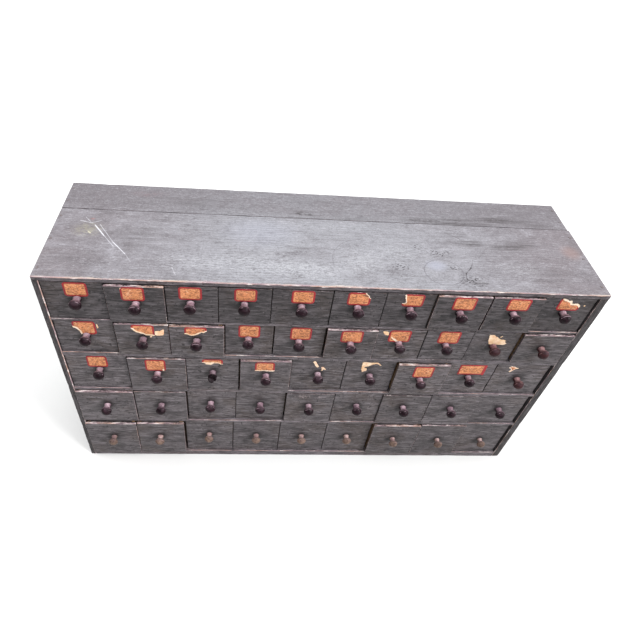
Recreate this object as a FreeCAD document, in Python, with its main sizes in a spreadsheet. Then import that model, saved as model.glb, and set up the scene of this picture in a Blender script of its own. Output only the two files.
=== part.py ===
import FreeCAD, Part
import math
import os
import Sketcher

# Low wooden parts cabinet: a nailed plank case with five rows of small
# drawers, 47 in all, each with a turned knob.
#
# Frame: millimetres, +X to the right seen from the front, +Y to the back,
# +Z up. The origin is the middle of the case's flat underside.

V = FreeCAD.Vector
doc = FreeCAD.newDocument("parts_cabinet")


# ----------------------------------------------------------------- sheets

class Q:
    """A size that keeps its formula beside its value."""

    def __init__(self, text, value):
        self.text = text
        self.value = float(value)

    def _join(self, other, sign, value):
        return Q("(%s %s %s)" % (self.text, sign, other.text), value)

    def __add__(self, other):
        other = size(other)
        return self._join(other, "+", self.value + other.value)

    def __sub__(self, other):
        other = size(other)
        return self._join(other, "-", self.value - other.value)

    def __mul__(self, other):
        other = size(other)
        return self._join(other, "*", self.value * other.value)

    def __truediv__(self, other):
        other = size(other)
        return self._join(other, "/", self.value / other.value)


def size(x):
    return x if isinstance(x, Q) else Q("%.6g" % x, x)


def fill_sheet(name, rows):
    sheet = doc.addObject("Spreadsheet::Sheet", name)
    found = {}
    for i, (alias, value, note) in enumerate(rows, start=1):
        sheet.set("A%d" % i, alias)
        sheet.set("B%d" % i, "%.6g" % value)
        sheet.set("C%d" % i, note)
        sheet.setAlias("B%d" % i, alias)
        found[alias] = Q("%s.%s" % (name, alias), value)
    return found


D = fill_sheet("Dims", [
    ("case_width", 1220, "outside width"),
    ("case_depth", 325, "outside depth, without drawers"),
    ("panel_left_thick", 13, "left side panel"),
    ("panel_thick", 19, "right side panel, of a stouter plank"),
    ("top_thick", 12, "top boards"),
    ("top_front_depth", 224, "front board of the top, front to seam"),
    ("top_seam", 1.2, "open seam between the top boards"),
    ("top_rear_short", 3, "rear top board ends this much short on the right"),
    ("floor_thick", 24, "bottom board"),
    ("shelfone_thick", 6.5, "shelf under the top row"),
    ("shelftwo_thick", 13.5, "shelf under the second row"),
    ("shelfthree_thick", 10, "shelf under the third row"),
    ("shelffour_thick", 9, "shelf under the fourth row"),
    ("back_thick", 10, "back planks"),
    ("back_gap", 1.5, "gap between back planks"),
    ("dado_depth", 5, "shelf housing in each side panel"),
    ("rabbet_width", 7, "rear rabbet, into the panel's thickness"),
    ("end_play", 0.2, "shelf end to the bottom of its dado"),
    ("rowone_high", 113, "opening height, top row"),
    ("rowtwo_high", 109, "opening height, second row"),
    ("rowthree_high", 128.5, "opening height, third row"),
    ("rowfour_high", 136, "opening height, fourth row"),
    ("rowfive_high", 158.5, "opening height, bottom row"),
    ("divider_thick", 9, "vertical dividers"),
    ("divider_setback", 25, "divider front edge behind the case front"),
    ("front_thick", 16, "drawer front, whole thickness"),
    ("lip_thick", 6, "drawer front at its rebates"),
    ("lip_wide", 5, "front past the drawer's side"),
    ("side_thick", 8, "drawer sides"),
    ("drawer_back_thick", 8, "drawer back"),
    ("drawer_floor_thick", 6, "drawer bottom"),
    ("drawer_long", 296, "front face to rear of the drawer"),
    ("side_below_front", 6, "drawer sides end this far below the front's top"),
    ("back_below_side", 8, "drawer back ends this far below the sides"),
    ("glue_line", 0.15, "gap at each joint inside a drawer"),
    ("run_gap", 0.4, "drawer underside to its shelf"),
    ("head_room", 3, "front's top edge to the shelf above"),
    ("knob_bore", 4.7, "radius of the bore for the knob"),
    ("knob_spigot", 4.5, "radius of the knob's spigot"),
    ("knob_spigot_long", 13, "spigot length"),
    ("knob_foot", 9.2, "large knob, radius of the foot"),
    ("knob_neck_in", 11, "large knob, height of the head's underside"),
    ("knob_neck", 8.8, "large knob, radius where neck meets head"),
    ("knob_head", 13, "large knob, radius of the head"),
    ("knob_head_at", 19.5, "large knob, widest point above the seat"),
    ("knob_dome", 9, "large knob, height of its dome"),
    ("knobsmall_foot", 8, "small knob, radius of the foot"),
    ("knobsmall_neck_in", 10.5, "small knob, height of the head's underside"),
    ("knobsmall_neck", 7.2, "small knob, radius where neck meets head"),
    ("knobsmall_head", 12.2, "small knob, radius of the head"),
    ("knobsmall_head_at", 17.5, "small knob, widest point above the seat"),
    ("knobsmall_dome", 7.5, "small knob, height of its dome"),
    ("foot_high", 2.5, "height of the knob's foot"),
    ("nail_head", 3.2, "nail head radius"),
    ("nail_head_high", 0.8, "nail head height, proud of the wood"),
    ("nail_shank", 1.3, "nail shank radius"),
    ("nail_long", 42, "nail shank length"),
])

ROW_NAMES = {1: "rowone", 2: "rowtwo", 3: "rowthree", 4: "rowfour", 5: "rowfive"}
ROW_HIGH = {r: D[ROW_NAMES[r] + "_high"] for r in ROW_NAMES}
# the shelf under each of the four upper rows; no two planks are equally thick
SHELF_THICK = {1: D["shelfone_thick"], 2: D["shelftwo_thick"],
               3: D["shelfthree_thick"], 4: D["shelffour_thick"]}

# floor of each row, from the bottom board up
ROW_FLOOR = {5: D["floor_thick"]}
for r in (4, 3, 2, 1):
    ROW_FLOOR[r] = ROW_FLOOR[r + 1] + ROW_HIGH[r + 1] + SHELF_THICK[r]
PANEL_HIGH = ROW_FLOOR[1] + ROW_HIGH[1]
INNER_DEPTH = D["case_depth"] - D["back_thick"]
HALF_W = D["case_width"] / 2
HALF_D = D["case_depth"] / 2

# Each drawer front, left to right: left edge and right edge from the case's
# left face, how far it stands out of the case front (minus: set in), and the
# knob's place from the middle of the front, sideways and up.
FRONTS = {
    1: [(14, 137, -2.5, 4, 5.5), (139.5, 259.5, 5, 0.5, 3.5), (261, 369, 0.5, -3, 5),
        (370.5, 481.5, 0.5, -1, 6.5), (483, 611, 0, -0.5, 5), (613, 725.5, 0, -1, 7),
        (727, 834.5, 0, 3.5, 6.5), (837, 957, 4, -0.5, 4), (961, 1076.5, 3.5, -1, 6),
        (1080.5, 1197.5, -3.5, -3, 6)],
    2: [(14, 140, -4, 1, 3), (143.5, 260, 3.5, 1, 3.5), (262, 382, 6, -1, 5.5),
        (384, 492.5, -5, -2, 3), (495.5, 611, -4, -1, -1), (614, 729.5, 4.5, -1, 6),
        (731, 843, -0.5, -1, 5.5), (846, 957, -1.5, -2, 2.5), (958, 1071, -1.5, 1, 3),
        (1076, 1197, 4.5, -4, 4.5)],
    3: [(14, 152.5, -4, 3.5, 8), (156, 290.5, 3, 0, 6), (292, 416.5, 0.5, 0, 11),
        (420.5, 543, 4, 1, 6.5), (544.5, 676, -5, 1, 4), (678, 801.5, -5, 2.5, 2),
        (804.5, 935, 6, -1.5, 5), (939, 1057.5, -5, -1, 2.5), (1059.5, 1196, -5, 0.5, -1)],
    4: [(14, 154.5, 5, 1.5, 9), (156.5, 284.5, 2, 0.5, 8.5), (287, 410.5, -6.5, -2.5, 7.5),
        (412, 539, -6, -0.5, 5), (542, 666.5, 1, -2, 12.5), (669, 794.5, -3, -0.5, 9.5),
        (795.5, 925, 1.5, -3, 11.5), (927, 1060.5, 1, -5, 9), (1063, 1194.5, -4.5, 2, -1)],
    5: [(14, 146, 8, 2, 12.5), (147.5, 272.5, 6.5, -3.5, 13), (276, 404, -6, -1, 5.5),
        (406, 534.5, -6, 0.5, 1), (536.5, 666, -6, -1.5, 0), (667.5, 793.5, -5, -1, 3),
        (797.5, 932, 6, -3, 10), (934, 1064, 3, -2, 1.5), (1066.5, 1196, -5, 1, -9.5)],
}

rows = []
for r in sorted(FRONTS):
    for c, (left, right, proud, side, up) in enumerate(FRONTS[r], start=1):
        tag = "%s_col%02d" % (ROW_NAMES[r], c)
        rows.append(("left_" + tag, left, "front's left edge from the case's left face"))
        rows.append(("right_" + tag, right, "front's right edge from the case's left face"))
        rows.append(("proud_" + tag, proud, "front stands out of the case by this"))
        rows.append(("knobside_" + tag, side, "knob right of the front's middle"))
        rows.append(("knobup_" + tag, up, "knob above the front's middle"))
S = fill_sheet("Fronts", rows)
doc.recompute()


# ---------------------------------------------------------------- helpers

def put(obj, x=None, y=None, z=None):
    for axis, q in (("x", x), ("y", y), ("z", z)):
        if q is not None:
            obj.setExpression("Placement.Base." + axis, size(q).text)


def block(name, length, width, height, x=0, y=0, z=0):
    box = doc.addObject("Part::Box", name)
    box.setExpression("Length", size(length).text)
    box.setExpression("Width", size(width).text)
    box.setExpression("Height", size(height).text)
    put(box, size(x), size(y), size(z))
    return box


def plane(body, role):
    return [f for f in body.Origin.OriginFeatures if f.Role == role][0]


def new_sketch(body, name, role, offset=None):
    sk = body.newObject("Sketcher::SketchObject", name)
    sk.AttachmentSupport = [(plane(body, role), "")]
    sk.MapMode = "FlatFace"
    if offset is not None:
        sk.setExpression("AttachmentOffset.Base.z", offset.text)
    return sk


def rectangle(sk, x0, y0, w, h):
    """A rectangle whose corner and sizes follow the sheet."""
    x0, y0, w, h = size(x0), size(y0), size(w), size(h)
    n = sk.GeometryCount
    a = V(x0.value, y0.value, 0)
    b = V(x0.value + w.value, y0.value, 0)
    c = V(x0.value + w.value, y0.value + h.value, 0)
    d = V(x0.value, y0.value + h.value, 0)
    for p, q in ((a, b), (b, c), (c, d), (d, a)):
        sk.addGeometry(Part.LineSegment(p, q))
    for i in range(4):
        sk.addConstraint(Sketcher.Constraint("Coincident", n + i, 2, n + (i + 1) % 4, 1))
    sk.addConstraint(Sketcher.Constraint("Horizontal", n))
    sk.addConstraint(Sketcher.Constraint("Horizontal", n + 2))
    sk.addConstraint(Sketcher.Constraint("Vertical", n + 1))
    sk.addConstraint(Sketcher.Constraint("Vertical", n + 3))
    for kind, first, q in (
        ("DistanceX", (n, 1, n, 2), w),
        ("DistanceY", (n + 1, 1, n + 1, 2), h),
        ("DistanceX", (-1, 1, n, 1), x0),
        ("DistanceY", (-1, 1, n, 1), y0),
    ):
        if abs(q.value) < 1e-9 and q.text == "0":
            lock = "Vertical" if kind == "DistanceX" else "Horizontal"
            i = sk.addConstraint(Sketcher.Constraint(lock, -1, 1, n, 1))
        else:
            i = sk.addConstraint(Sketcher.Constraint(kind, *first, q.value))
            sk.setExpression("Constraints[%d]" % i, q.text)


def plank(name, role, w, h, thick):
    """A straight plank: a rectangle on one of the body's own planes, padded."""
    body = doc.addObject("PartDesign::Body", name)
    body.Label = name
    sk = new_sketch(body, name + "_outline", role)
    rectangle(sk, 0, 0, w, h)
    pad = body.newObject("PartDesign::Pad", name + "_pad")
    pad.Profile = sk
    pad.setExpression("Length", size(thick).text)
    sk.Visibility = False
    body.Tip = pad
    return body


def must_shrink(body, before, what):
    doc.recompute()
    after = body.Shape.Volume
    if not after < before - 1.0:
        raise RuntimeError("%s cut nothing from %s" % (what, body.Label))
    return after


PIECES = []


# ------------------------------------------------------------ side panels
# The panels stand on the floor and carry the top. Each has four dadoes for
# the shelves across its inner face and a rabbet down its rear inner edge.

def side_panel(name, on_left):
    thick = D["panel_left_thick"] if on_left else D["panel_thick"]
    body = plank(name, "YZ_Plane", D["case_depth"], PANEL_HIGH, thick)
    doc.recompute()
    volume = body.Shape.Volume
    inner = thick if on_left else None

    sk = new_sketch(body, name + "_dadoes", "YZ_Plane", inner)
    for r in (4, 3, 2, 1):
        rectangle(sk, 0, ROW_FLOOR[r] - SHELF_THICK[r], INNER_DEPTH, SHELF_THICK[r])
    cut = body.newObject("PartDesign::Pocket", name + "_dado_cut")
    cut.Profile = sk
    cut.setExpression("Length", D["dado_depth"].text)
    cut.Reversed = not on_left
    sk.Visibility = False
    body.Tip = cut
    volume = must_shrink(body, volume, "the dado cut")

    sk = new_sketch(body, name + "_rabbet", "YZ_Plane", inner)
    rectangle(sk, INNER_DEPTH, 0, D["back_thick"] + 1, PANEL_HIGH)
    cut = body.newObject("PartDesign::Pocket", name + "_rabbet_cut")
    cut.Profile = sk
    cut.setExpression("Length", D["rabbet_width"].text)
    cut.Reversed = not on_left
    sk.Visibility = False
    body.Tip = cut
    must_shrink(body, volume, "the rabbet cut")

    x = size(0) - HALF_W if on_left else HALF_W - thick
    put(body, x, size(0) - HALF_D, size(0))
    PIECES.append(body)
    return body


side_panel("left_side_panel", True)
side_panel("right_side_panel", False)

# ---------------------------------------------------------------- the top
# Two planks lie across both panels, flush with them at the ends and front.

top_front = plank("top_front_board", "XY_Plane", D["case_width"], D["top_front_depth"], D["top_thick"])
put(top_front, size(0) - HALF_W, size(0) - HALF_D, PANEL_HIGH)
PIECES.append(top_front)

top_rear = plank("top_rear_board", "XY_Plane",
                 D["case_width"] - D["top_rear_short"],
                 D["case_depth"] - D["top_front_depth"] - D["top_seam"],
                 D["top_thick"])
put(top_rear, size(0) - HALF_W, D["top_front_depth"] + D["top_seam"] - HALF_D, PANEL_HIGH)
PIECES.append(top_rear)

# ------------------------------------------------------- bottom and shelves

INNER_WIDTH = D["case_width"] - D["panel_left_thick"] - D["panel_thick"]
INNER_LEFT = D["panel_left_thick"] - HALF_W

bottom = plank("bottom_board", "XY_Plane", INNER_WIDTH, INNER_DEPTH, D["floor_thick"])
put(bottom, INNER_LEFT, size(0) - HALF_D, size(0))
PIECES.append(bottom)

SHELF_LONG = INNER_WIDTH + D["dado_depth"] * 2 - D["end_play"] * 2
for r in (1, 2, 3, 4):
    shelf = plank("shelf_%d" % r, "XY_Plane", SHELF_LONG, INNER_DEPTH, SHELF_THICK[r])
    put(shelf, INNER_LEFT - D["dado_depth"] + D["end_play"], size(0) - HALF_D, ROW_FLOOR[r] - SHELF_THICK[r])
    PIECES.append(shelf)

# ------------------------------------------------------------- back planks
# Four planks close the back, let into the panels' rabbets.

BACK_LONG = INNER_WIDTH + D["rabbet_width"] * 2 - D["end_play"] * 2
plank_high = (PANEL_HIGH - D["back_gap"] * 3) / 4
backs = []
for i in range(4):
    backs.append(block("back_plank_%d" % (i + 1), BACK_LONG, D["back_thick"], plank_high,
                       INNER_LEFT - D["rabbet_width"] + D["end_play"], INNER_DEPTH - HALF_D,
                       (plank_high + D["back_gap"]) * i))
group = doc.addObject("Part::Compound", "back_boards")
group.Label = "back_boards"
group.Links = backs
PIECES.append(group)

# ---------------------------------------------------------------- dividers
# A thin upright board stands between each pair of drawers, behind the
# drawer fronts, from the shelf below to the shelf above.


def dividers(name, which):
    boards = []
    for r in which:
        for c in range(1, len(FRONTS[r])):
            one = "%s_col%02d" % (ROW_NAMES[r], c)
            two = "%s_col%02d" % (ROW_NAMES[r], c + 1)
            middle = (S["right_" + one] + S["left_" + two]) / 2
            boards.append(block("divider_%s_%02d" % (ROW_NAMES[r], c),
                                D["divider_thick"],
                                INNER_DEPTH - D["divider_setback"],
                                ROW_HIGH[r],
                                middle - D["divider_thick"] / 2 - HALF_W,
                                D["divider_setback"] - HALF_D,
                                ROW_FLOOR[r]))
    comp = doc.addObject("Part::Compound", name)
    comp.Label = name
    comp.Links = boards
    PIECES.append(comp)


dividers("upper_row_dividers", (1, 2))
dividers("lower_row_dividers", (3, 4, 5))

# ------------------------------------------------------------------- knobs
# A turned wooden knob: spigot, foot, waisted neck and a domed head. It is
# drawn standing on its seat, with the axis up.


def turned_knob(name, foot, neck, neck_in, head, head_at, dome):
    body = doc.addObject("PartDesign::Body", name)
    sk = new_sketch(body, name + "_profile", "XZ_Plane")
    spigot, deep = D["knob_spigot"], D["knob_spigot_long"]
    seat, high = D["glue_line"], D["foot_high"]
    top = head_at + dome
    corners = [
        (size(0), size(0) - deep),
        (spigot, size(0) - deep),
        (spigot, seat),
        (foot, seat),
        (foot, high),
        (neck, neck_in),
        (head, head_at),
        (size(0), top),
    ]
    P = [V(x.value, y.value, 0) for x, y in corners]
    sk.addGeometry(Part.LineSegment(P[0], P[1]))
    sk.addGeometry(Part.LineSegment(P[1], P[2]))
    sk.addGeometry(Part.LineSegment(P[2], P[3]))
    sk.addGeometry(Part.LineSegment(P[3], P[4]))
    # the waist curves in towards the axis; its arc runs from the neck's top
    # down to the foot. The underside is upright where it meets the dome, at
    # the widest point, and the dome's centre is on the axis.
    waist = V(neck.value - 1.0, (high.value + neck_in.value) / 2 + 0.8, 0)
    waist_centre = Part.Arc(P[5], waist, P[4]).toShape().Curve.Center
    drop = head_at.value - neck_in.value
    under_x = (head.value ** 2 - neck.value ** 2 - drop ** 2) / (2 * (head.value - neck.value))
    dome_radius = (head.value ** 2 + dome.value ** 2) / (2 * dome.value)
    for start, centre, end in ((P[5], waist_centre, P[4]),
                               (P[5], V(under_x, head_at.value, 0), P[6]),
                               (P[6], V(0, top.value - dome_radius, 0), P[7])):
        radius = centre.distanceToPoint(start)
        first = math.atan2(start.y - centre.y, start.x - centre.x)
        last = math.atan2(end.y - centre.y, end.x - centre.x)
        if last < first:
            last += 2 * math.pi
        sk.addGeometry(Part.ArcOfCircle(Part.Circle(centre, V(0, 0, 1), radius), first, last))
    sk.addGeometry(Part.LineSegment(P[7], P[0]))
    for i in range(3):
        sk.addConstraint(Sketcher.Constraint("Coincident", i, 2, i + 1, 1))
    sk.addConstraint(Sketcher.Constraint("Coincident", 3, 2, 4, 2))
    sk.addConstraint(Sketcher.Constraint("Coincident", 4, 1, 5, 1))
    sk.addConstraint(Sketcher.Constraint("Coincident", 5, 2, 6, 1))
    sk.addConstraint(Sketcher.Constraint("Coincident", 6, 2, 7, 1))
    sk.addConstraint(Sketcher.Constraint("Coincident", 7, 2, 0, 1))
    holders = [(0, 1), (0, 2), (1, 2), (2, 2), (3, 2), (5, 1), (5, 2), (7, 1)]
    for (x, y), (g, end) in zip(corners, holders):
        if x.text == "0":
            sk.addConstraint(Sketcher.Constraint("PointOnObject", g, end, -2))
        else:
            i = sk.addConstraint(Sketcher.Constraint("DistanceX", -1, 1, g, end, x.value))
            sk.setExpression("Constraints[%d]" % i, x.text)
        i = sk.addConstraint(Sketcher.Constraint("DistanceY", -1, 1, g, end, y.value))
        sk.setExpression("Constraints[%d]" % i, y.text)
    # the waist's centre keeps its distance from the axis, the underside's is
    # level with the widest point, the dome's is on the axis
    sk.addConstraint(Sketcher.Constraint("DistanceX", -1, 1, 4, 3, waist_centre.x))
    i = sk.addConstraint(Sketcher.Constraint("DistanceY", -1, 1, 5, 3, head_at.value))
    sk.setExpression("Constraints[%d]" % i, head_at.text)
    sk.addConstraint(Sketcher.Constraint("PointOnObject", 6, 3, -2))
    turn = body.newObject("PartDesign::Revolution", name + "_turning")
    turn.Profile = sk
    turn.ReferenceAxis = (sk, ["V_Axis"])
    turn.Angle = 360
    sk.Visibility = False
    body.Tip = turn
    doc.recompute()
    reach = body.Shape.optimalBoundingBox(False, False)
    if abs(reach.XMax - head.value) > 0.01 or abs(reach.ZMax - top.value) > 0.01:
        raise RuntimeError("%s has a wrong profile" % name)
    return body


large_knob = turned_knob("large_knob_pattern", D["knob_foot"], D["knob_neck"],
                         D["knob_neck_in"], D["knob_head"], D["knob_head_at"], D["knob_dome"])
small_knob = turned_knob("small_knob_pattern", D["knobsmall_foot"], D["knobsmall_neck"],
                         D["knobsmall_neck_in"], D["knobsmall_head"], D["knobsmall_head_at"],
                         D["knobsmall_dome"])

# ----------------------------------------------------------------- drawers
# Each drawer is drawn with its origin at the lower left corner of its front
# face. The front is rebated behind its ends and lower edge, so the sides and
# the bottom run into it and the front covers the dividers beside it.


def drawer(r, c):
    tag = "%s_col%02d" % (ROW_NAMES[r], c)
    name = "drawer_r%d_c%02d" % (r, c)
    wide = S["right_" + tag] - S["left_" + tag]
    high = ROW_HIGH[r] - D["run_gap"] - D["head_room"]
    glue, lip, st = D["glue_line"], D["lip_wide"], D["side_thick"]
    floor = D["drawer_floor_thick"]
    side_in = lip + st + glue                 # inner face of a side, past the glue line
    above = floor + glue                      # underside of everything above the bottom
    behind = D["lip_thick"] + glue            # front end of the sides and bottom
    side_high = high - D["side_below_front"] - above
    back_high = side_high - D["back_below_side"]

    face = block(name + "_face", wide, D["lip_thick"], high)
    core = block(name + "_core", wide - side_in * 2, D["front_thick"] - D["lip_thick"],
                 high - above, side_in, D["lip_thick"], above)
    front = doc.addObject("Part::Fuse", name + "_front_blank")
    front.Base, front.Tool = face, core
    bore = doc.addObject("Part::Cylinder", name + "_bore")
    bore.setExpression("Radius", D["knob_bore"].text)
    bore.setExpression("Height", (D["front_thick"] + 2).text)
    bore.Placement = FreeCAD.Placement(V(0, 0, 0), FreeCAD.Rotation(V(1, 0, 0), -90))
    knob_x = wide / 2 + S["knobside_" + tag]
    knob_z = high / 2 + S["knobup_" + tag]
    put(bore, knob_x, size(-1), knob_z)
    bored = doc.addObject("Part::Cut", name + "_front")
    bored.Base, bored.Tool = front, bore

    left = block(name + "_left_side", st, D["drawer_long"] - behind, side_high, lip, behind, above)
    right = block(name + "_right_side", st, D["drawer_long"] - behind, side_high,
                  wide - lip - st, behind, above)
    back = block(name + "_back", wide - side_in * 2, D["drawer_back_thick"], back_high,
                 side_in, D["drawer_long"] - D["drawer_back_thick"], above)
    base = block(name + "_bottom", wide - lip * 2, D["drawer_long"] - behind, floor,
                 lip, behind, 0)
    knob = doc.addObject("App::Link", name + "_knob")
    knob.LinkedObject = small_knob if r == 5 else large_knob
    knob.Placement = FreeCAD.Placement(V(0, 0, 0), FreeCAD.Rotation(V(1, 0, 0), 90))
    put(knob, knob_x, size(0), knob_z)

    comp = doc.addObject("Part::Compound", name)
    comp.Label = name
    comp.Links = [bored, left, right, back, base, knob]
    put(comp, S["left_" + tag] - HALF_W,
        size(0) - HALF_D - S["proud_" + tag],
        ROW_FLOOR[r] + D["run_gap"])
    PIECES.append(comp)


for r in sorted(FRONTS):
    for c in range(1, len(FRONTS[r]) + 1):
        drawer(r, c)

# ------------------------------------------------------------------- nails
# Wire nails hold the planks together. Their heads lie on the wood.

nail = doc.addObject("PartDesign::Body", "nail_pattern")
sk = new_sketch(nail, "nail_profile", "XZ_Plane")
rectangle(sk, 0, size(0) - D["nail_long"], D["nail_shank"], D["nail_long"])
shaft = nail.newObject("PartDesign::Revolution", "nail_shaft")
shaft.Profile = sk
shaft.ReferenceAxis = (sk, ["V_Axis"])
shaft.Angle = 360
nail.Tip = shaft
sk = new_sketch(nail, "nail_head_profile", "XZ_Plane")
rectangle(sk, 0, 0, D["nail_head"], D["nail_head_high"])
cap = nail.newObject("PartDesign::Revolution", "nail_cap")
cap.Profile = sk
cap.ReferenceAxis = (sk, ["V_Axis"])
cap.Angle = 360
nail.Tip = cap

nails = []


def drive(x, y, z, turn):
    """One nail with its head seated at x, y, z."""
    link = doc.addObject("App::Link", "nail_%03d" % (len(nails) + 1))
    link.LinkedObject = nail
    link.Placement = FreeCAD.Placement(V(0, 0, 0), turn)
    put(link, x, y, z)
    nails.append(link)


TO_LEFT = FreeCAD.Rotation(V(0, 1, 0), -90)    # head towards -X
TO_RIGHT = FreeCAD.Rotation(V(0, 1, 0), 90)    # head towards +X
UP = FreeCAD.Rotation()
TO_BACK = FreeCAD.Rotation(V(1, 0, 0), -90)    # head towards +Y

levels = [ROW_FLOOR[r] - SHELF_THICK[r] / 2 for r in (4, 3, 2, 1)] + [D["floor_thick"] / 2]
for level in levels:
    for share in (0.1, 0.48, 0.88):
        y = D["case_depth"] * share - HALF_D
        drive(size(0) - HALF_W, y, level, TO_LEFT)
        drive(HALF_W, y, level, TO_RIGHT)
roof = PANEL_HIGH + D["top_thick"]
for share in (0.08, 0.36, 0.6, 0.78, 0.93):
    y = D["case_depth"] * share - HALF_D
    drive(D["panel_left_thick"] * 0.55 - HALF_W, y, roof, UP)
    drive(HALF_W - D["panel_thick"] * 0.55, y, roof, UP)
for i in range(4):
    z = (plank_high + D["back_gap"]) * i + plank_high / 2
    for share in (0.25, 0.75):
        zz = (plank_high + D["back_gap"]) * i + plank_high * share
        drive(D["panel_left_thick"] * 0.75 - HALF_W, HALF_D, zz, TO_BACK)
        drive(HALF_W - D["panel_thick"] * 0.75, HALF_D, zz, TO_BACK)

group = doc.addObject("Part::Compound", "case_nails")
group.Label = "case_nails"
group.Links = nails
PIECES.append(group)

# ------------------------------------------------------------------ output

doc.recompute()
for obj in doc.Objects:
    bad = [s for s in obj.State if s in ("Invalid", "Error")]
    if bad:
        raise RuntimeError("%s is %s" % (obj.Name, bad))
labels = set()
for piece in PIECES:
    shape = piece.Shape
    if shape.isNull() or not shape.isValid() or not shape.Solids:
        raise RuntimeError("%s has no valid solid" % piece.Label)
    if piece.Label in labels:
        raise RuntimeError("two pieces are called %s" % piece.Label)
    labels.add(piece.Label)

os.makedirs("parts", exist_ok=True)
for piece in PIECES:
    piece.Shape.exportStep("parts/%s.step" % piece.Label)
    box = piece.Shape.BoundBox
    print("%-22s %3d solids  %9.0f mm3  x %7.1f %7.1f  y %7.1f %7.1f  z %6.1f %6.1f" % (
        piece.Label, len(piece.Shape.Solids), piece.Shape.Volume,
        box.XMin, box.XMax, box.YMin, box.YMax, box.ZMin, box.ZMax))
print(len(PIECES), "pieces")
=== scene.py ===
import math

import bpy
import numpy as np
from mathutils import Matrix, Vector


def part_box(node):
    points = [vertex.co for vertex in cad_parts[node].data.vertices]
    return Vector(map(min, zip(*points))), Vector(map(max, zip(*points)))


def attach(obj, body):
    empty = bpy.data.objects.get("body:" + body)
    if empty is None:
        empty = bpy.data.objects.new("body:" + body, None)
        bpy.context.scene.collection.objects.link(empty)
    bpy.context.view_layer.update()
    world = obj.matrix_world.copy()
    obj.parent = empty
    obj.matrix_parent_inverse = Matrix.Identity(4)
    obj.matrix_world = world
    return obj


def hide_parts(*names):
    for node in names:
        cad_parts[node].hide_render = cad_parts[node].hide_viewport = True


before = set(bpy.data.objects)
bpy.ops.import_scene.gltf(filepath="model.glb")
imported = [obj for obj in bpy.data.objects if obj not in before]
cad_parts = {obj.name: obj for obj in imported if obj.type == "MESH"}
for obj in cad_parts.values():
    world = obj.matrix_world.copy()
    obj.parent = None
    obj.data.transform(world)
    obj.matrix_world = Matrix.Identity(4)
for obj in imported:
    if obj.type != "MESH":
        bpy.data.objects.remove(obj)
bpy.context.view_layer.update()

MM = 0.001
FRONT_Y = -0.1625          # the case's front plane
LONG = 0.296               # drawer, front face to rear
HALF_W = 0.610
PANEL_LEFT, PANEL_RIGHT = 0.013, 0.019
COUNTS = {1: 10, 2: 10, 3: 9, 4: 9, 5: 9}


# ------------------------------------------------------------------ camera

cam_data = bpy.data.cameras.new("camera")
cam_data.lens = 29.69
cam_data.sensor_width = 36.0
cam_data.sensor_fit = "HORIZONTAL"
cam_data.shift_x = 0.0406
cam_data.shift_y = -0.09375
cam_data.clip_end = 100
camera = bpy.data.objects.new("camera", cam_data)
bpy.context.scene.collection.objects.link(camera)
right = np.array([0.9955, -0.0377, 0.0865])
forward = np.array([0.0863, 0.7334, -0.6743])
right /= np.linalg.norm(right)
forward /= np.linalg.norm(forward)
up = np.cross(right, forward)
up /= np.linalg.norm(up)
right = np.cross(forward, up)
place = Matrix.Identity(4)
for row in range(3):
    place[row][0] = right[row]
    place[row][1] = up[row]
    place[row][2] = -forward[row]
place[0][3], place[1][3], place[2][3] = -0.1805, -0.9250, 1.4917
camera.matrix_world = place
bpy.context.scene.camera = camera
bpy.context.scene.view_settings.view_transform = "Standard"


# ------------------------------------------------------------ number tools

def lattice(i, j, k, seed):
    n = (i * 374761393 + j * 668265263 + k * 1440662683 + seed * 1274126177) & 0xFFFFFFFF
    n = ((n ^ (n >> 13)) * 1274126177) & 0xFFFFFFFF
    n = ((n ^ (n >> 16)) * 2246822519) & 0xFFFFFFFF
    return ((n >> 8) & 0xFFFF) / 65535.0


def noise(p, scale, seed=0):
    """Smooth value noise from 0 to 1 at points p (metres); scale is per metre."""
    q = np.asarray(p, float) * scale
    i = np.floor(q).astype(np.int64)
    f = q - i
    f = f * f * (3 - 2 * f)
    total = np.zeros(len(q))
    for a in (0, 1):
        for b in (0, 1):
            for c in (0, 1):
                w = ((f[:, 0] if a else 1 - f[:, 0]) * (f[:, 1] if b else 1 - f[:, 1])
                     * (f[:, 2] if c else 1 - f[:, 2]))
                total += w * lattice(i[:, 0] + a, i[:, 1] + b, i[:, 2] + c, seed)
    return total


def layered(p, scale, seed=0, layers=3):
    total, weight, s = 0.0, 0.0, 1.0
    for n in range(layers):
        total = total + s * noise(p, scale * 2 ** n, seed + 17 * n)
        weight += s
        s *= 0.55
    return total / weight


def smooth(x, a, b):
    t = np.clip((x - a) / (b - a), 0, 1)
    return t * t * (3 - 2 * t)


def arris(p, q, strength, width):
    return strength * np.exp(-np.hypot(p, q) / width)


# -------------------------------------------------------------- mesh tools

def make(name, verts, faces, materials, which=None, attrs=None, flat=False):
    mesh = bpy.data.meshes.new(name)
    mesh.from_pydata(np.asarray(verts, float).tolist(), [], [list(map(int, f)) for f in faces])
    for m in materials:
        mesh.materials.append(m)
    if which is not None:
        mesh.polygons.foreach_set("material_index", np.asarray(which, np.int32))
    mesh.polygons.foreach_set("use_smooth", np.full(len(mesh.polygons), not flat))
    for key, values in (attrs or {}).items():
        layer = mesh.attributes.new(key, "FLOAT", "POINT")
        layer.data.foreach_set("value", np.asarray(values, np.float32))
    mesh.update()
    obj = bpy.data.objects.new(name, mesh)
    bpy.context.scene.collection.objects.link(obj)
    return obj


NEAR = (0.0, 0.35, 0.8, 1.4, 2.2, 3.6, 6.0)


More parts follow.
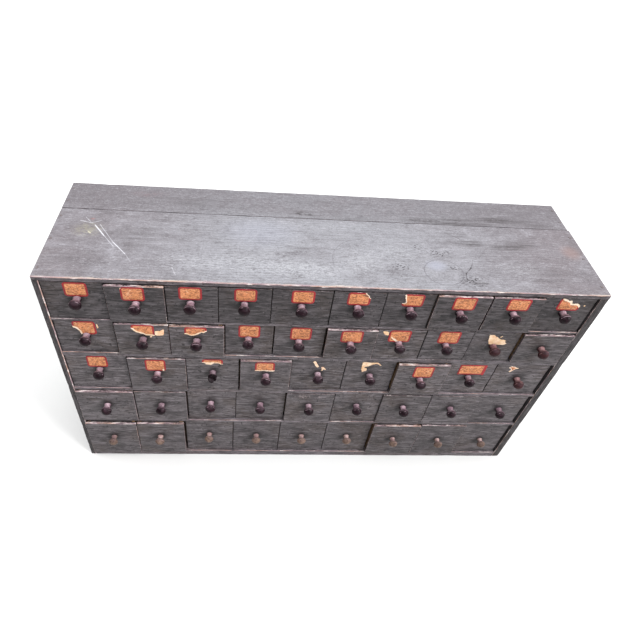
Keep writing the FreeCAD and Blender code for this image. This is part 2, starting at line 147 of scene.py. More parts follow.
def lines(a, b, step, near=NEAR):
    """Cut lines from a to b, close together at the ends and step apart between."""
    length = b - a
    ends = [n * MM for n in near if n * MM < length * 0.46]
    n = max(1, int(round((length - 2 * ends[-1]) / step)))
    middle = np.linspace(a + ends[-1], b - ends[-1], n + 1)[1:-1]
    return np.concatenate([[a + e for e in ends], middle, [b - e for e in reversed(ends)]])


SIDES = ("x-", "x+", "y-", "y+", "z-", "z+")


def shell(xs, ys, zs, filled=None):
    """The outer faces of a block cut by these lines; filled says which cells are solid."""
    nx, ny, nz = len(xs) - 1, len(ys) - 1, len(zs) - 1
    if filled is None:
        filled = np.ones((nx, ny, nz), bool)
    solid = np.zeros((nx + 2, ny + 2, nz + 2), bool)
    solid[1:-1, 1:-1, 1:-1] = filled

    def ident(i, j, k):
        return (i * (ny + 1) + j) * (nz + 1) + k

    quads, sides = [], []
    core = solid[1:-1, 1:-1, 1:-1]
    for side, near in (("x-", solid[:-2, 1:-1, 1:-1]), ("x+", solid[2:, 1:-1, 1:-1]),
                       ("y-", solid[1:-1, :-2, 1:-1]), ("y+", solid[1:-1, 2:, 1:-1]),
                       ("z-", solid[1:-1, 1:-1, :-2]), ("z+", solid[1:-1, 1:-1, 2:])):
        i, j, k = np.nonzero(core & ~near)
        s = 1 if side[1] == "+" else 0
        if side[0] == "x":
            q = [ident(i + s, j, k), ident(i + s, j + 1, k), ident(i + s, j + 1, k + 1), ident(i + s, j, k + 1)]
        elif side[0] == "y":
            q = [ident(i, j + s, k), ident(i, j + s, k + 1), ident(i + 1, j + s, k + 1), ident(i + 1, j + s, k)]
        else:
            q = [ident(i, j, k + s), ident(i + 1, j, k + s), ident(i + 1, j + 1, k + s), ident(i, j + 1, k + s)]
        q = np.stack(q, 1)
        if s == 0:
            q = q[:, ::-1]
        quads.append(q)
        sides.append(np.full(len(q), SIDES.index(side)))
    quads = np.concatenate(quads)
    sides = np.concatenate(sides)
    used, inverse = np.unique(quads, return_inverse=True)
    quads = inverse.reshape(quads.shape)
    i = used // ((ny + 1) * (nz + 1))
    j = (used // (nz + 1)) % (ny + 1)
    k = used % (nz + 1)
    verts = np.stack([np.asarray(xs)[i], np.asarray(ys)[j], np.asarray(zs)[k]], 1)
    return verts, quads, sides


def soften(p, lo, hi, r):
    """Rounds a block's arrises, and leaves a notch's own walls. r is one radius for each point."""
    r = np.asarray(r)[:, None]
    q = np.clip(p, lo + r, hi - r)
    d = p - q
    n = np.linalg.norm(d, axis=1, keepdims=True)
    return np.where(n > 1e-9, q + d * np.minimum(r / np.maximum(n, 1e-9), 1.0), p)


def worn_radius(p, base, seed, chips=0.0):
    """A rounding radius that wanders along an arris and is larger where it is chipped."""
    r = base * (0.55 + 0.9 * noise(p, 55, seed))
    if chips:
        r = r + chips * smooth(noise(p, 38, seed + 5), 0.74, 0.93)
    return r


def plank(lo, hi, step, base, seed, chips=0.0, near=NEAR, filled=None):
    """A plank with worn arrises: moved points, unmoved points, faces and sides."""
    lo, hi = np.array(lo, float), np.array(hi, float)
    xs, ys, zs = (lines(lo[a], hi[a], step[a], near) for a in range(3))
    cells = None
    if filled is not None:
        mx, my, mz = ((v[1:] + v[:-1]) / 2 for v in (xs, ys, zs))
        cells = filled(*np.meshgrid(mx, my, mz, indexing="ij"))
    rest, quads, sides = shell(xs, ys, zs, cells)
    r = np.minimum(worn_radius(rest, base, seed, chips), 0.46 * (hi - lo).min())
    return soften(rest, lo, hi, r), rest, quads, sides


# ---------------------------------------------------------- material tools

def srgb(r, g, b):
    return tuple((c / 255 / 12.92) if c / 255 <= 0.04045 else ((c / 255 + 0.055) / 1.055) ** 2.4
                 for c in (r, g, b)) + (1.0,)


class Tree:
    """A node tree, one call for each node."""

    def __init__(self, name):
        self.mat = bpy.data.materials.new(name)
        self.mat.use_nodes = True
        self.tree = self.mat.node_tree
        self.tree.nodes.clear()
        self.out = self.tree.nodes.new("ShaderNodeOutputMaterial")
        self.bsdf = self.tree.nodes.new("ShaderNodeBsdfPrincipled")
        self.tree.links.new(self.bsdf.outputs[0], self.out.inputs[0])
        self.coord = self.tree.nodes.new("ShaderNodeTexCoord").outputs["Object"]

    def put(self, socket, value):
        if isinstance(value, bpy.types.NodeSocket):
            self.tree.links.new(value, socket)
        else:
            socket.default_value = value

    def attr(self, name):
        n = self.tree.nodes.new("ShaderNodeAttribute")
        n.attribute_name = name
        return n.outputs["Fac"]

    def math(self, op, a, b=None, clamp=False):
        n = self.tree.nodes.new("ShaderNodeMath")
        n.operation = op
        n.use_clamp = clamp
        self.put(n.inputs[0], a)
        if b is not None:
            self.put(n.inputs[1], b)
        return n.outputs[0]

    def add(self, *terms):
        total = terms[0]
        for t in terms[1:]:
            total = self.math("ADD", total, t)
        return total

    def mul(self, *terms):
        total = terms[0]
        for t in terms[1:]:
            total = self.math("MULTIPLY", total, t)
        return total

    def most(self, a, b):
        return self.math("MAXIMUM", a, b)

    def vector(self, op, a, b=None, scale=None):
        n = self.tree.nodes.new("ShaderNodeVectorMath")
        n.operation = op
        self.put(n.inputs[0], a)
        if b is not None:
            self.put(n.inputs[1], b)
        if scale is not None:
            self.put(n.inputs["Scale"], scale)
        return n.outputs["Value"] if op in ("LENGTH", "DOT_PRODUCT", "DISTANCE") else n.outputs["Vector"]

    def combine(self, x, y, z):
        n = self.tree.nodes.new("ShaderNodeCombineXYZ")
        for s, v in zip(n.inputs, (x, y, z)):
            self.put(s, v)
        return n.outputs[0]

    def split(self, v):
        n = self.tree.nodes.new("ShaderNodeSeparateXYZ")
        self.put(n.inputs[0], v)
        return n.outputs

    def step(self, value, a, b, c=0.0, d=1.0):
        """Smooth step: c below a, d above b."""
        n = self.tree.nodes.new("ShaderNodeMapRange")
        n.interpolation_type = "SMOOTHSTEP"
        if a > b:
            a, b, c, d = b, a, d, c
        for s, v in zip(n.inputs, (value, a, b, c, d)):
            self.put(s, v)
        return n.outputs[0]

    def noise(self, v, scale=1.0, detail=4.0, rough=0.55, distort=0.0):
        n = self.tree.nodes.new("ShaderNodeTexNoise")
        self.put(n.inputs["Vector"], v)
        n.inputs["Scale"].default_value = scale
        n.inputs["Detail"].default_value = detail
        n.inputs["Roughness"].default_value = rough
        n.inputs["Distortion"].default_value = distort
        return n.outputs[0]

    def mix(self, f, a, b, blend="MIX"):
        n = self.tree.nodes.new("ShaderNodeMix")
        n.data_type = "RGBA"
        n.blend_type = blend
        self.put(n.inputs[0], f)
        self.put(n.inputs[6], a)
        self.put(n.inputs[7], b)
        return n.outputs[2]

    def times(self, colour, value):
        """A colour times a number from a socket."""
        return self.vector("SCALE", colour, scale=value)

    def bump(self, height, distance, strength=1.0, after=None):
        n = self.tree.nodes.new("ShaderNodeBump")
        self.put(n.inputs["Height"], height)
        n.inputs["Distance"].default_value = distance
        n.inputs["Strength"].default_value = strength
        if after is not None:
            self.put(n.inputs["Normal"], after)
        return n.outputs[0]

    def normal_up(self):
        n = self.tree.nodes.new("ShaderNodeNewGeometry")
        return self.split(n.outputs["Normal"])[2]

    def finish(self, colour, rough, normal=None):
        self.put(self.bsdf.inputs["Base Color"], colour)
        self.put(self.bsdf.inputs["Roughness"], rough)
        if normal is not None:
            self.put(self.bsdf.inputs["Normal"], normal)
        return self.mat

    def shifted(self):
        """Object coordinates, moved by the piece's own seed so that no two pieces match."""
        seed = self.attr("seed")
        return self.vector("ADD", self.coord,
                           self.combine(self.mul(seed, 3.17), self.mul(seed, 1.73), self.mul(seed, 5.31)))

    def segment(self, point, a, b):
        """Distance from point to the line from a to b."""
        a, b = np.array(a, float), np.array(b, float)
        d = b - a
        away = self.vector("SUBTRACT", point, tuple(a))
        t = self.math("DIVIDE", self.vector("DOT_PRODUCT", away, tuple(d)), float(d @ d), clamp=True)
        return self.vector("LENGTH", self.vector("SUBTRACT", away, self.vector("SCALE", tuple(d), scale=t))), t


GRAIN = {"x": (8.0, 100.0, 100.0), "z": (100.0, 100.0, 8.0), "y": (100.0, 8.0, 100.0)}


def paint(name, grain, dark, mid, pale, brown, knobs=False, light=1.0, streaky=1.0):
    """Old matt paint over wood: grain, blotches, dirt and a painted shadow beside the knobs, and wear on the arrises.
    """
    t = Tree(name)
    p = t.shifted()
    k = GRAIN[grain]
    streak = t.noise(t.vector("MULTIPLY", p, tuple(18.0 if v < 50 else 165.0 for v in k)), 1.0, 6, 0.66, 0.35)
    fine = t.noise(t.vector("MULTIPLY", p, tuple(48.0 if v < 50 else 440.0 for v in k)), 1.0, 3, 0.62, 0.2)
    smear = t.noise(t.vector("MULTIPLY", p, tuple(14.0 if v < 50 else 38.0 for v in k)), 1.0, 5, 0.6, 0.5)
    blotch = t.noise(p, 26, 5, 0.62, 0.4)
    patch = t.noise(p, 9, 3, 0.55, 0.3)
    speck = t.noise(p, 330, 2, 0.5)
    mote = t.noise(t.vector("ADD", p, (3.3, 1.1, 7.7)), 150, 2, 0.4)

    black = tuple(0.30 * c for c in dark[:3]) + (1,)
    colour = t.mix(t.step(smear, 0.34, 0.56), dark, mid)
    colour = t.mix(t.mul(t.step(blotch, 0.50, 0.70), 0.34), colour, pale)
    colour = t.mix(t.mul(t.step(patch, 0.46, 0.66), t.step(streak, 0.30, 0.62), 0.75), colour, brown)
    colour = t.mix(t.mul(t.step(streak, 0.50, 0.62), 0.80 * streaky), colour, tuple(0.72 * c for c in dark[:3]) + (1,))
    colour = t.mix(t.mul(t.step(streak, 0.46, 0.34), 0.62 * streaky), colour, pale)
    colour = t.mix(t.mul(t.step(fine, 0.52, 0.64), t.step(smear, 0.35, 0.6, 0.45, 1.0), 0.85 * streaky), colour, black)
    colour = t.mix(t.mul(t.step(fine, 0.46, 0.34), 0.62 * streaky), colour, pale)
    # long dark checks and short dark dashes, where the grain has opened
    check = t.noise(t.vector("MULTIPLY", t.vector("ADD", p, (9.1, 4.4, 2.2)), tuple(16.0 if v < 50 else 300.0 for v in k)),
                    1.0, 2, 0.5)
    colour = t.mix(t.mul(t.step(check, 0.665, 0.73), t.step(patch, 0.36, 0.56), 0.9), colour, black)
    colour = t.mix(t.mul(t.step(mote, 0.63, 0.71), 0.75), colour, black)
    colour = t.mix(t.mul(t.step(speck, 0.69, 0.76), 0.55), colour, tuple(min(1, 1.9 * c) for c in pale[:3]) + (1,))

    # dark stains and pale scrubbed marks, where the mesh says so
    stain = t.attr("stain")
    stained = t.step(t.add(stain, t.mul(t.add(blotch, -0.5), 1.1), t.mul(t.add(streak, -0.5), 0.6)), 0.42, 0.80)
    colour = t.mix(t.mul(stained, 0.75), colour, srgb(44, 38, 36))
    ghost = t.attr("ghost")
    scrub = t.noise(t.vector("MULTIPLY", p, (190.0, 190.0, 120.0)), 1.0, 3, 0.7, 0.8)
    scrubbed = t.step(t.add(ghost, t.mul(t.add(scrub, -0.5), 1.7)), 0.52, 0.80)
    colour = t.mix(t.mul(scrubbed, 0.55), colour, srgb(150, 136, 136))

    if knobs:
        # dark dirt round the knob, and a painted shadow to its left and below it
        around = t.attr("knob")
        grime_and_shadow = t.step(t.add(around, t.mul(t.add(blotch, -0.5), 16.0)), 27.0, 7.0)
        colour = t.mix(t.mul(grime_and_shadow, 0.82), colour, srgb(30, 26, 27))
        rub = t.step(t.math("ABSOLUTE", t.add(around, -17.0)), 4.0, 0.0)
        rub = t.mul(rub, t.step(t.noise(p, 60, 3, 0.6), 0.56, 0.72))
        colour = t.mix(t.mul(rub, 0.30), colour, pale)

    tone = t.attr("tone")
    colour = t.times(colour, t.mul(tone, light))

    # bare wood shows where the arrises have rubbed through
    w = t.attr("wear")
    chip = t.noise(p, 210, 5, 0.68)
    run = t.noise(t.vector("MULTIPLY", p, tuple(45.0 if v < 50 else 260.0 for v in k)), 1.0, 4, 0.6)
    worn = t.step(t.add(w, t.mul(t.add(chip, -0.5), 0.55), t.mul(t.add(run, -0.5), 0.65)), 0.44, 0.60)
    wood = t.mix(t.step(t.noise(p, 14, 3, 0.5), 0.44, 0.60), srgb(166, 140, 145), srgb(184, 148, 134))
    wood = t.mix(t.mul(t.step(chip, 0.52, 0.66), 0.60), wood, srgb(98, 78, 84))
    wood = t.mix(t.mul(t.step(run, 0.52, 0.66), 0.80), wood, srgb(236, 226, 222))
    wood = t.mix(t.mul(t.step(t.noise(p, 90, 2, 0.5), 0.64, 0.74), 0.5), wood, srgb(150, 96, 88))
    colour = t.mix(t.mul(worn, 0.92), colour, wood)

    height = t.add(t.mul(streak, 0.45), t.mul(fine, -0.55), t.mul(blotch, 0.5), t.mul(worn, -0.7), t.mul(speck, 0.12))
    rough = t.add(t.step(blotch, 0.3, 0.7, 0.52, 0.68), t.mul(worn, 0.12), t.mul(fine, 0.06))
    t.bsdf.inputs["Specular IOR Level"].default_value = 0.24
    return t.finish(colour, rough, t.bump(height, 0.0008, 0.85))


paint_front = paint("paint_front", "x", srgb(62, 57, 59), srgb(88, 82, 84), srgb(122, 115, 119), srgb(80, 68, 62), knobs=True)
paint_case_x = paint("paint_case_x", "x", srgb(74, 68, 71), srgb(98, 91, 95), srgb(134, 126, 130), srgb(92, 78, 76))
paint_case_z = paint("paint_case_z", "z", srgb(54, 50, 51), srgb(72, 67, 69), srgb(100, 94, 97), srgb(70, 60, 57))


def top_paint():
    """Weathered grey paint on the top, with the marks of years of use."""
    t = Tree("paint_top")
    p = t.shifted()
    x, y, z = t.split(t.coord)
    flat = t.combine(x, y, 0.0)
    streak = t.noise(t.vector("MULTIPLY", p, (9.0, 130.0, 130.0)), 1.0, 7, 0.68, 0.3)
    fine = t.noise(t.vector("MULTIPLY", p, (50.0, 520.0, 520.0)), 1.0, 3, 0.6, 0.2)
    weave = t.noise(t.vector("MULTIPLY", p, (95.0, 260.0, 200.0)), 1.0, 5, 0.70, 0.6)
    tooth = t.noise(t.vector("MULTIPLY", p, (260.0, 380.0, 300.0)), 1.0, 4, 0.72, 0.5)
    blotch = t.noise(t.vector("MULTIPLY", p, (16.0, 26.0, 20.0)), 1.0, 5, 0.66, 0.8)
    patch = t.noise(t.vector("MULTIPLY", p, (4.0, 8.0, 6.0)), 1.0, 3, 0.5, 0.4)
    speck = t.noise(p, 300, 2, 0.45)
    # arched grain, as on a plain-sawn board
    bend = t.noise(t.vector("MULTIPLY", p, (3.0, 5.0, 5.0)), 1.0, 2, 0.4)
    rings = t.math("SINE", t.add(t.mul(y, 820.0), t.mul(bend, 62.0), t.mul(streak, 7.0)))

    colour = t.mix(t.step(blotch, 0.34, 0.66), srgb(104, 99, 103), srgb(128, 125, 130))
    # browner at the ends, blue-grey and paler in the middle
    middle = t.step(t.math("ABSOLUTE", t.add(x, 0.0)), 0.60, 0.10)
    colour = t.mix(t.mul(middle, t.step(patch, 0.28, 0.62, 0.55, 1.0), 0.78), colour, srgb(140, 141, 146))
    ends = t.mul(t.step(t.math("ABSOLUTE", x), 0.22, 0.62), t.step(patch, 0.42, 0.62, 0.25, 1.0))
    colour = t.mix(t.mul(ends, 0.55), colour, srgb(110, 100, 103))
    rear = t.step(y, 0.03, 0.10)
    colour = t.mix(t.mul(rear, t.step(blotch, 0.40, 0.62, 0.45, 0.85)), colour, srgb(103, 98, 102))
    colour = t.mix(t.mul(t.step(blotch, 0.56, 0.70), t.step(weave, 0.40, 0.60), 0.5), colour, srgb(152, 150, 156))
    colour = t.mix(t.mul(t.step(blotch, 0.44, 0.30), t.step(weave, 0.60, 0.42), 0.5), colour, srgb(84, 79, 83))
    colour = t.mix(t.mul(t.step(streak, 0.52, 0.68), 0.40), colour, srgb(88, 84, 87))
    colour = t.mix(t.mul(t.step(streak, 0.44, 0.28), 0.30), colour, srgb(156, 154, 160))
    colour = t.mix(t.mul(t.step(rings, 0.25, 1.0), t.step(patch, 0.38, 0.60), 0.34), colour, srgb(88, 84, 88))
    colour = t.mix(t.mul(t.step(fine, 0.56, 0.72), 0.40), colour, srgb(74, 70, 73))
    colour = t.mix(t.mul(t.step(weave, 0.53, 0.66), 0.30), colour, srgb(166, 165, 170))
    colour = t.mix(t.mul(t.step(weave, 0.47, 0.34), 0.46), colour, srgb(80, 77, 80))
    colour = t.mix(t.mul(t.step(tooth, 0.53, 0.66), 0.26), colour, srgb(172, 171, 176))
    colour = t.mix(t.mul(t.step(tooth, 0.47, 0.34), 0.46), colour, srgb(78, 74, 77))
    colour = t.mix(t.mul(t.step(speck, 0.68, 0.75), 0.6), colour, srgb(66, 60, 63))

    def at(mx, my):
        return (mx * MM - HALF_W, my * MM + FRONT_Y, 0.0)

    def near(mx, my, sx, sy):
        """1 at a place, falling to 0 at sx, sy millimetres from it."""
        d = t.vector("MULTIPLY", t.vector("SUBTRACT", flat, at(mx, my)), (1000.0 / sx, 1000.0 / sy, 0.0))
        return t.step(t.vector("LENGTH", d), 1.0, 0.15)

    wob = t.noise(flat, 70, 3, 0.6)
    # stains: greenish, reddish and brown spots, grey-brown bruises, knots
    colour = t.mix(t.mul(near(76, 152, 44, 34), t.step(weave, 0.40, 0.62), 0.60), colour, srgb(134, 130, 108))
    colour = t.mix(t.mul(near(79, 187, 9, 6), t.step(wob, 0.40, 0.6), 0.75), colour, srgb(158, 100, 94))
    colour = t.mix(t.mul(near(62, 190, 10, 9), t.step(weave, 0.5, 0.6), 0.8), colour, srgb(64, 58, 58))
    colour = t.mix(t.mul(near(186, 292, 60, 18), t.step(weave, 0.40, 0.62), 0.45), colour, srgb(108, 84, 88))
    colour = t.mix(t.mul(near(1187, 138, 34, 34), 0.55), colour, srgb(132, 110, 106))
    for mx, my, sx, sy, depth in ((556, 243, 58, 15, 0.95), (670, 230, 110, 7, 0.55), (835, 237, 80, 16, 0.75),
                                  (925, 236, 130, 22, 0.85), (1042, 252, 90, 22, 0.70), (905, 185, 70, 14, 0.65),
                                  (945, 158, 60, 16, 0.75), (1030, 146, 60, 14, 0.65), (1066, 157, 70, 26, 0.55),
                                  (928, 26, 40, 14, 0.75), (905, 40, 30, 26, 0.55), (300, 268, 90, 26, 0.30),
                                  (620, 165, 120, 30, 0.15), (1100, 60, 60, 40, 0.30), (560, 290, 90, 20, 0.25),
                                  (1130, 250, 60, 36, 0.35), (200, 130, 90, 60, 0.22), (40, 60, 50, 60, 0.25)):
        colour = t.mix(t.mul(near(mx, my, sx, sy), t.step(t.add(streak, t.mul(weave, 0.9)), 0.86, 1.08), depth),
                       colour, srgb(58, 52, 53))
    colour = t.mix(t.mul(near(455, 165, 120, 70), 0.22), colour, srgb(150, 152, 166))
    for mx, my, sx, sy, depth in ((430, 60, 150, 50, 0.50), (556, 46, 110, 44, 0.60), (674, 74, 70, 60, 0.55),
                                  (1045, 74, 70, 34, 0.35), (760, 110, 70, 40, 0.35), (300, 60, 90, 50, 0.25)):
        colour = t.mix(t.mul(near(mx, my, sx, sy), t.step(t.add(weave, t.mul(t.add(tooth, -0.5), 0.6)), 0.38, 0.64), 0.75 * depth),
                       colour, srgb(170, 171, 175))
    colour = t.mix(t.mul(near(545, 243, 9, 5), 0.7), colour, srgb(52, 46, 47))
    colour = t.mix(t.mul(near(573, 240, 7, 5), 0.6), colour, srgb(52, 46, 47))

    # rings left by round things, the second with a paler middle
    def ring(mx, my, rx, ry, width, depth, tint, gaps=0.40):
        d = t.vector("MULTIPLY", t.vector("SUBTRACT", flat, at(mx, my)), (1000.0 / rx, 1000.0 / ry, 0.0))
        r = t.add(t.vector("LENGTH", d), t.mul(t.add(wob, -0.5), 0.08))
        line = t.step(t.math("ABSOLUTE", t.add(r, -1.0)), width, width * 0.2)
        return t.mix(t.mul(line, t.step(t.noise(flat, 26, 2, 0.5), gaps - 0.06, gaps + 0.10), depth), colour, tint)

    colour = ring(684, 84, 70, 70, 0.024, 0.34, srgb(84, 80, 84), 0.42)
    colour = t.mix(t.mul(near(846, 76, 34, 24), 0.45), colour, srgb(152, 154, 168))
    colour = ring(858, 56, 43, 40, 0.040, 0.46, srgb(78, 74, 80), 0.42)

    # dark pecks in loose clusters
    peck = t.noise(t.vector("MULTIPLY", p, (190.0, 260.0, 190.0)), 1.0, 1.0, 0.4)
    for mx, my, sx, sy in ((862, 118, 40, 26), (764, 68, 34, 18), (815, 138, 20, 14), (884, 70, 22, 14), (920, 30, 50, 26)):
        colour = t.mix(t.mul(near(mx, my, sx, sy), t.step(peck, 0.57, 0.62), 0.9), colour, srgb(40, 35, 37))

    # scratches and a branching crack
    def scratch(a, b, width, depth, tint, fade=False, ragged=0.6):
        d, along = t.segment(flat, at(*a), at(*b))
        d = t.add(d, t.mul(t.add(wob, -0.5), 0.004 * ragged))
        line = t.step(t.math("ABSOLUTE", d), width * MM, width * MM * 0.25)
        if fade:
            line = t.mul(line, t.step(along, 1.0, 0.45))
        return t.mix(t.mul(line, depth), colour, tint)

    crack = [(935, 99), (930, 84), (923, 71), (908, 54), (905, 40), (906, 34), (923, 23)]
    for a, b in zip(crack, crack[1:]):
        colour = scratch(a, b, 1.5, 0.72, srgb(48, 42, 44), ragged=1.2)
    for a, b in (((908, 54), (884, 68)), ((905, 40), (877, 8)), ((906, 34), (890, 22)), ((923, 23), (952, 14)),
                 ((893, 196), (923, 174)), ((923, 174), (937, 153)), ((937, 153), (976, 146)), ((976, 146), (1030, 144))):
        colour = scratch(a, b, 1.3, 0.32, srgb(60, 54, 56), ragged=2.4)

    # white scratches
    white = srgb(222, 222, 228)
    colour = scratch((88, 167), (114, 133), 1.9, 0.62, white, ragged=0.3)
    colour = scratch((114, 133), (141, 99), 1.1, 0.32, white, ragged=0.3)
    colour = scratch((98, 170), (138, 112), 1.2, 0.28, white, ragged=0.4)
    colour = scratch((138, 112), (170, 76), 1.4, 0.55, white, ragged=0.3)
    colour = scratch((170, 76), (186, 52), 1.0, 0.25, white, ragged=0.8)
    colour = scratch((53, 181), (80, 174), 1.2, 0.35, white, ragged=1.2)
    colour = scratch((98, 184), (80, 174), 1.1, 0.30, white, ragged=1.2)
    colour = scratch((62, 194), (75, 179), 1.1, 0.28, white, ragged=1.2)
    colour = scratch((78, 145), (84, 139), 1.6, 0.45, srgb(214, 208, 176), ragged=1.2)
    colour = scratch((28, 20), (58, 44), 1.2, 0.25, srgb(196, 186, 188), ragged=1.0)
    colour = scratch((190, 62), (330, 66), 1.0, 0.20, srgb(206, 204, 208), ragged=1.8)
    colour = scratch((272, 40), (282, 18), 1.1, 0.30, srgb(206, 204, 208), ragged=1.6)

    colour = t.times(colour, t.attr("tone"))

    w = t.attr("wear")
    chip = t.noise(p, 190, 5, 0.68)
    run = t.noise(t.vector("MULTIPLY", p, (26.0, 240.0, 240.0)), 1.0, 4, 0.62)
    worn = t.step(t.add(w, t.mul(t.add(chip, -0.5), 0.7), t.mul(t.add(run, -0.5), 1.1)), 0.44, 0.60)
    wood = t.mix(t.step(t.noise(p, 12, 3, 0.5), 0.42, 0.60), srgb(150, 132, 138), srgb(178, 164, 150))
    wood = t.mix(t.mul(t.step(chip, 0.52, 0.66), 0.6), wood, srgb(100, 82, 86))
    wood = t.mix(t.mul(t.step(run, 0.56, 0.72), 0.6), wood, srgb(196, 190, 192))
    colour = t.mix(t.mul(worn, 0.85), colour, wood)

    height = t.add(t.mul(streak, 0.5), t.mul(fine, -0.45), t.mul(weave, 0.6), t.mul(tooth, 0.3), t.mul(worn, -0.4))
    rough = t.add(t.step(blotch, 0.3, 0.7, 0.52, 0.66), t.mul(worn, 0.15), t.mul(fine, 0.06))
    t.bsdf.inputs["Specular IOR Level"].default_value = 0.35
    return t.finish(colour, rough, t.bump(height, 0.0008, 0.7))


paint_top = top_paint()


def bare_wood(name, grain, light, dark, fibre=1.0):
    """Unpainted softwood gone brown and dusty inside the case and the drawers."""
    t = Tree(name)
    p = t.shifted()
    k = GRAIN[grain]
    across = {"x": (5.0, 60.0, 60.0), "y": (60.0, 5.0, 60.0), "z": (60.0, 60.0, 5.0)}[grain]
    year = t.noise(t.vector("MULTIPLY", p, across), 1.0, 3, 0.5, 0.8)
    bands = t.math("SINE", t.mul(year, 46.0))
    streak = t.noise(t.vector("MULTIPLY", p, k), 1.0, 6, 0.6)
    fine = t.noise(t.vector("MULTIPLY", p, tuple(6.0 * v for v in k)), 1.0, 3, 0.6)
    dirt = t.noise(p, 14, 5, 0.6)
    colour = t.mix(t.step(streak, 0.3, 0.7), light, dark)
    colour = t.mix(t.mul(t.step(bands, 0.1, 1.0), 0.4 * fibre), colour, tuple(0.6 * c for c in dark[:3]) + (1,))
    colour = t.mix(t.mul(t.step(fine, 0.55, 0.75), 0.4), colour, tuple(0.5 * c for c in dark[:3]) + (1,))
    colour = t.mix(t.mul(t.step(dirt, 0.50, 0.72), 0.55), colour, srgb(70, 60, 54))
    colour = t.times(colour, t.attr("tone"))
    height = t.add(t.mul(streak, 0.5), t.mul(fine, -0.5), t.mul(bands, 0.1))
    return t.finish(colour, t.step(dirt, 0.3, 0.7, 0.66, 0.82), t.bump(height, 0.0006, 0.7))


wood_inner = bare_wood("wood_inner", "y", srgb(158, 126, 94), srgb(120, 90, 64))
wood_back = bare_wood("wood_back", "x", srgb(132, 110, 90), srgb(98, 78, 62))


def divider_wood():
    """Wood for the dividers, whose meshes carry no marks of their own, painted darker than the drawers' wood as painted
    shade in the gaps between the fronts.
    """
    t = Tree("wood_divider_shaded")
    p = t.coord
    streak = t.noise(t.vector("MULTIPLY", p, (100.0, 8.0, 100.0)), 1.0, 6, 0.6)
    fine = t.noise(t.vector("MULTIPLY", p, (560.0, 46.0, 560.0)), 1.0, 3, 0.6)
    dirt = t.noise(p, 14, 5, 0.6)
    colour = t.mix(t.step(streak, 0.3, 0.7), srgb(92, 75, 60), srgb(70, 55, 44))
    colour = t.mix(t.mul(t.step(fine, 0.55, 0.75), 0.4), colour, srgb(70, 54, 42))
    colour = t.mix(t.mul(t.step(dirt, 0.45, 0.72), 0.6), colour, srgb(60, 52, 48))
    return t.finish(colour, t.step(dirt, 0.3, 0.7, 0.66, 0.82),
                    t.bump(t.add(t.mul(streak, 0.5), t.mul(fine, -0.5)), 0.0006, 0.7))


def nail_iron():
    """Nail heads, painted over long ago and beginning to rust through."""
    t = Tree("nail_iron")
    p = t.coord
    rust = t.noise(p, 420, 4, 0.65)
    colour = t.mix(t.step(rust, 0.36, 0.64), srgb(92, 88, 90), srgb(116, 110, 113))
    colour = t.mix(t.mul(t.step(t.noise(p, 700, 3, 0.5), 0.52, 0.62), 0.8), colour, srgb(86, 62, 52))
    return t.finish(colour, t.step(rust, 0.3, 0.7, 0.5, 0.8), t.bump(rust, 0.0003, 0.8))


def knob_paint(name, head_a, head_b, neck_a, neck_b, gloss):
    """Turned wood under old dark finish; the neck and the shoulder are rubbed pale, and their upper side is painted
    paler still, a painted highlight from the light above.
    """
    t = Tree(name)
    p = t.shifted()
    high = t.attr("high")                     # 0 at the seat, 1 at the tip
    cloud = t.noise(p, 150, 4, 0.6)
    grit = t.noise(p, 620, 3, 0.6)
    drift = t.noise(p, 70, 3, 0.5, 0.4)
    rings = t.math("SINE", t.mul(high, 150.0))
    head = t.mix(t.step(cloud, 0.36, 0.64), head_a, head_b)
    neck = t.mix(t.step(drift, 0.36, 0.62), neck_a, neck_b)
    neck = t.mix(t.mul(t.step(grit, 0.52, 0.70), 0.6), neck, head_b)
    up_face = t.normal_up()
    # the neck is painted pale on its upper side and dark beneath: rubbing and dust, with painted light from above and
    # painted shade below
    edge = t.mul(t.step(t.add(high, t.mul(t.add(cloud, -0.5), 0.16)), 0.70, 0.36),
                 t.step(t.add(up_face, t.mul(t.add(drift, -0.5), 0.7)), 0.05, 0.90))
    colour = t.mix(edge, head, neck)
    # a pale line round the widest part on its upper side, rubbed and also a painted highlight, and dust on the dome's
    # upper side
    rim = t.mul(t.step(t.math("ABSOLUTE", t.add(high, -0.700)), 0.034, 0.008), t.step(cloud, 0.46, 0.60),
                t.step(up_face, -0.2, 0.5))
    colour = t.mix(t.mul(rim, 0.6), colour, neck_a)
    dust = t.mul(t.step(up_face, 0.30, 0.75), t.step(drift, 0.40, 0.62))
    colour = t.mix(t.mul(dust, 0.12), colour, srgb(124, 100, 112))
    colour = t.mix(t.mul(t.step(grit, 0.64, 0.74), 0.35), colour, neck_b)
    colour = t.times(colour, t.attr("tone"))
    height = t.add(t.mul(rings, 0.05), t.mul(cloud, 0.7), t.mul(grit, 0.35))
    rough = t.add(t.step(cloud, 0.3, 0.7, gloss, gloss + 0.14), t.mul(edge, 0.22), t.mul(dust, 0.12))
    t.bsdf.inputs["Specular IOR Level"].default_value = 0.10
    return t.finish(colour, rough, t.bump(height, 0.0005, 0.7))


knob_dark = knob_paint("knob_dark", srgb(17, 5, 11), srgb(28, 11, 18), srgb(172, 148, 157), srgb(126, 102, 112), 0.34)
knob_red = knob_paint("knob_red", srgb(36, 17, 20), srgb(54, 28, 30), srgb(152, 118, 118), srgb(112, 80, 82), 0.38)
knob_pale = knob_paint("knob_pale", srgb(104, 86, 76), srgb(78, 62, 56), srgb(176, 150, 148), srgb(130, 104, 102), 0.48)


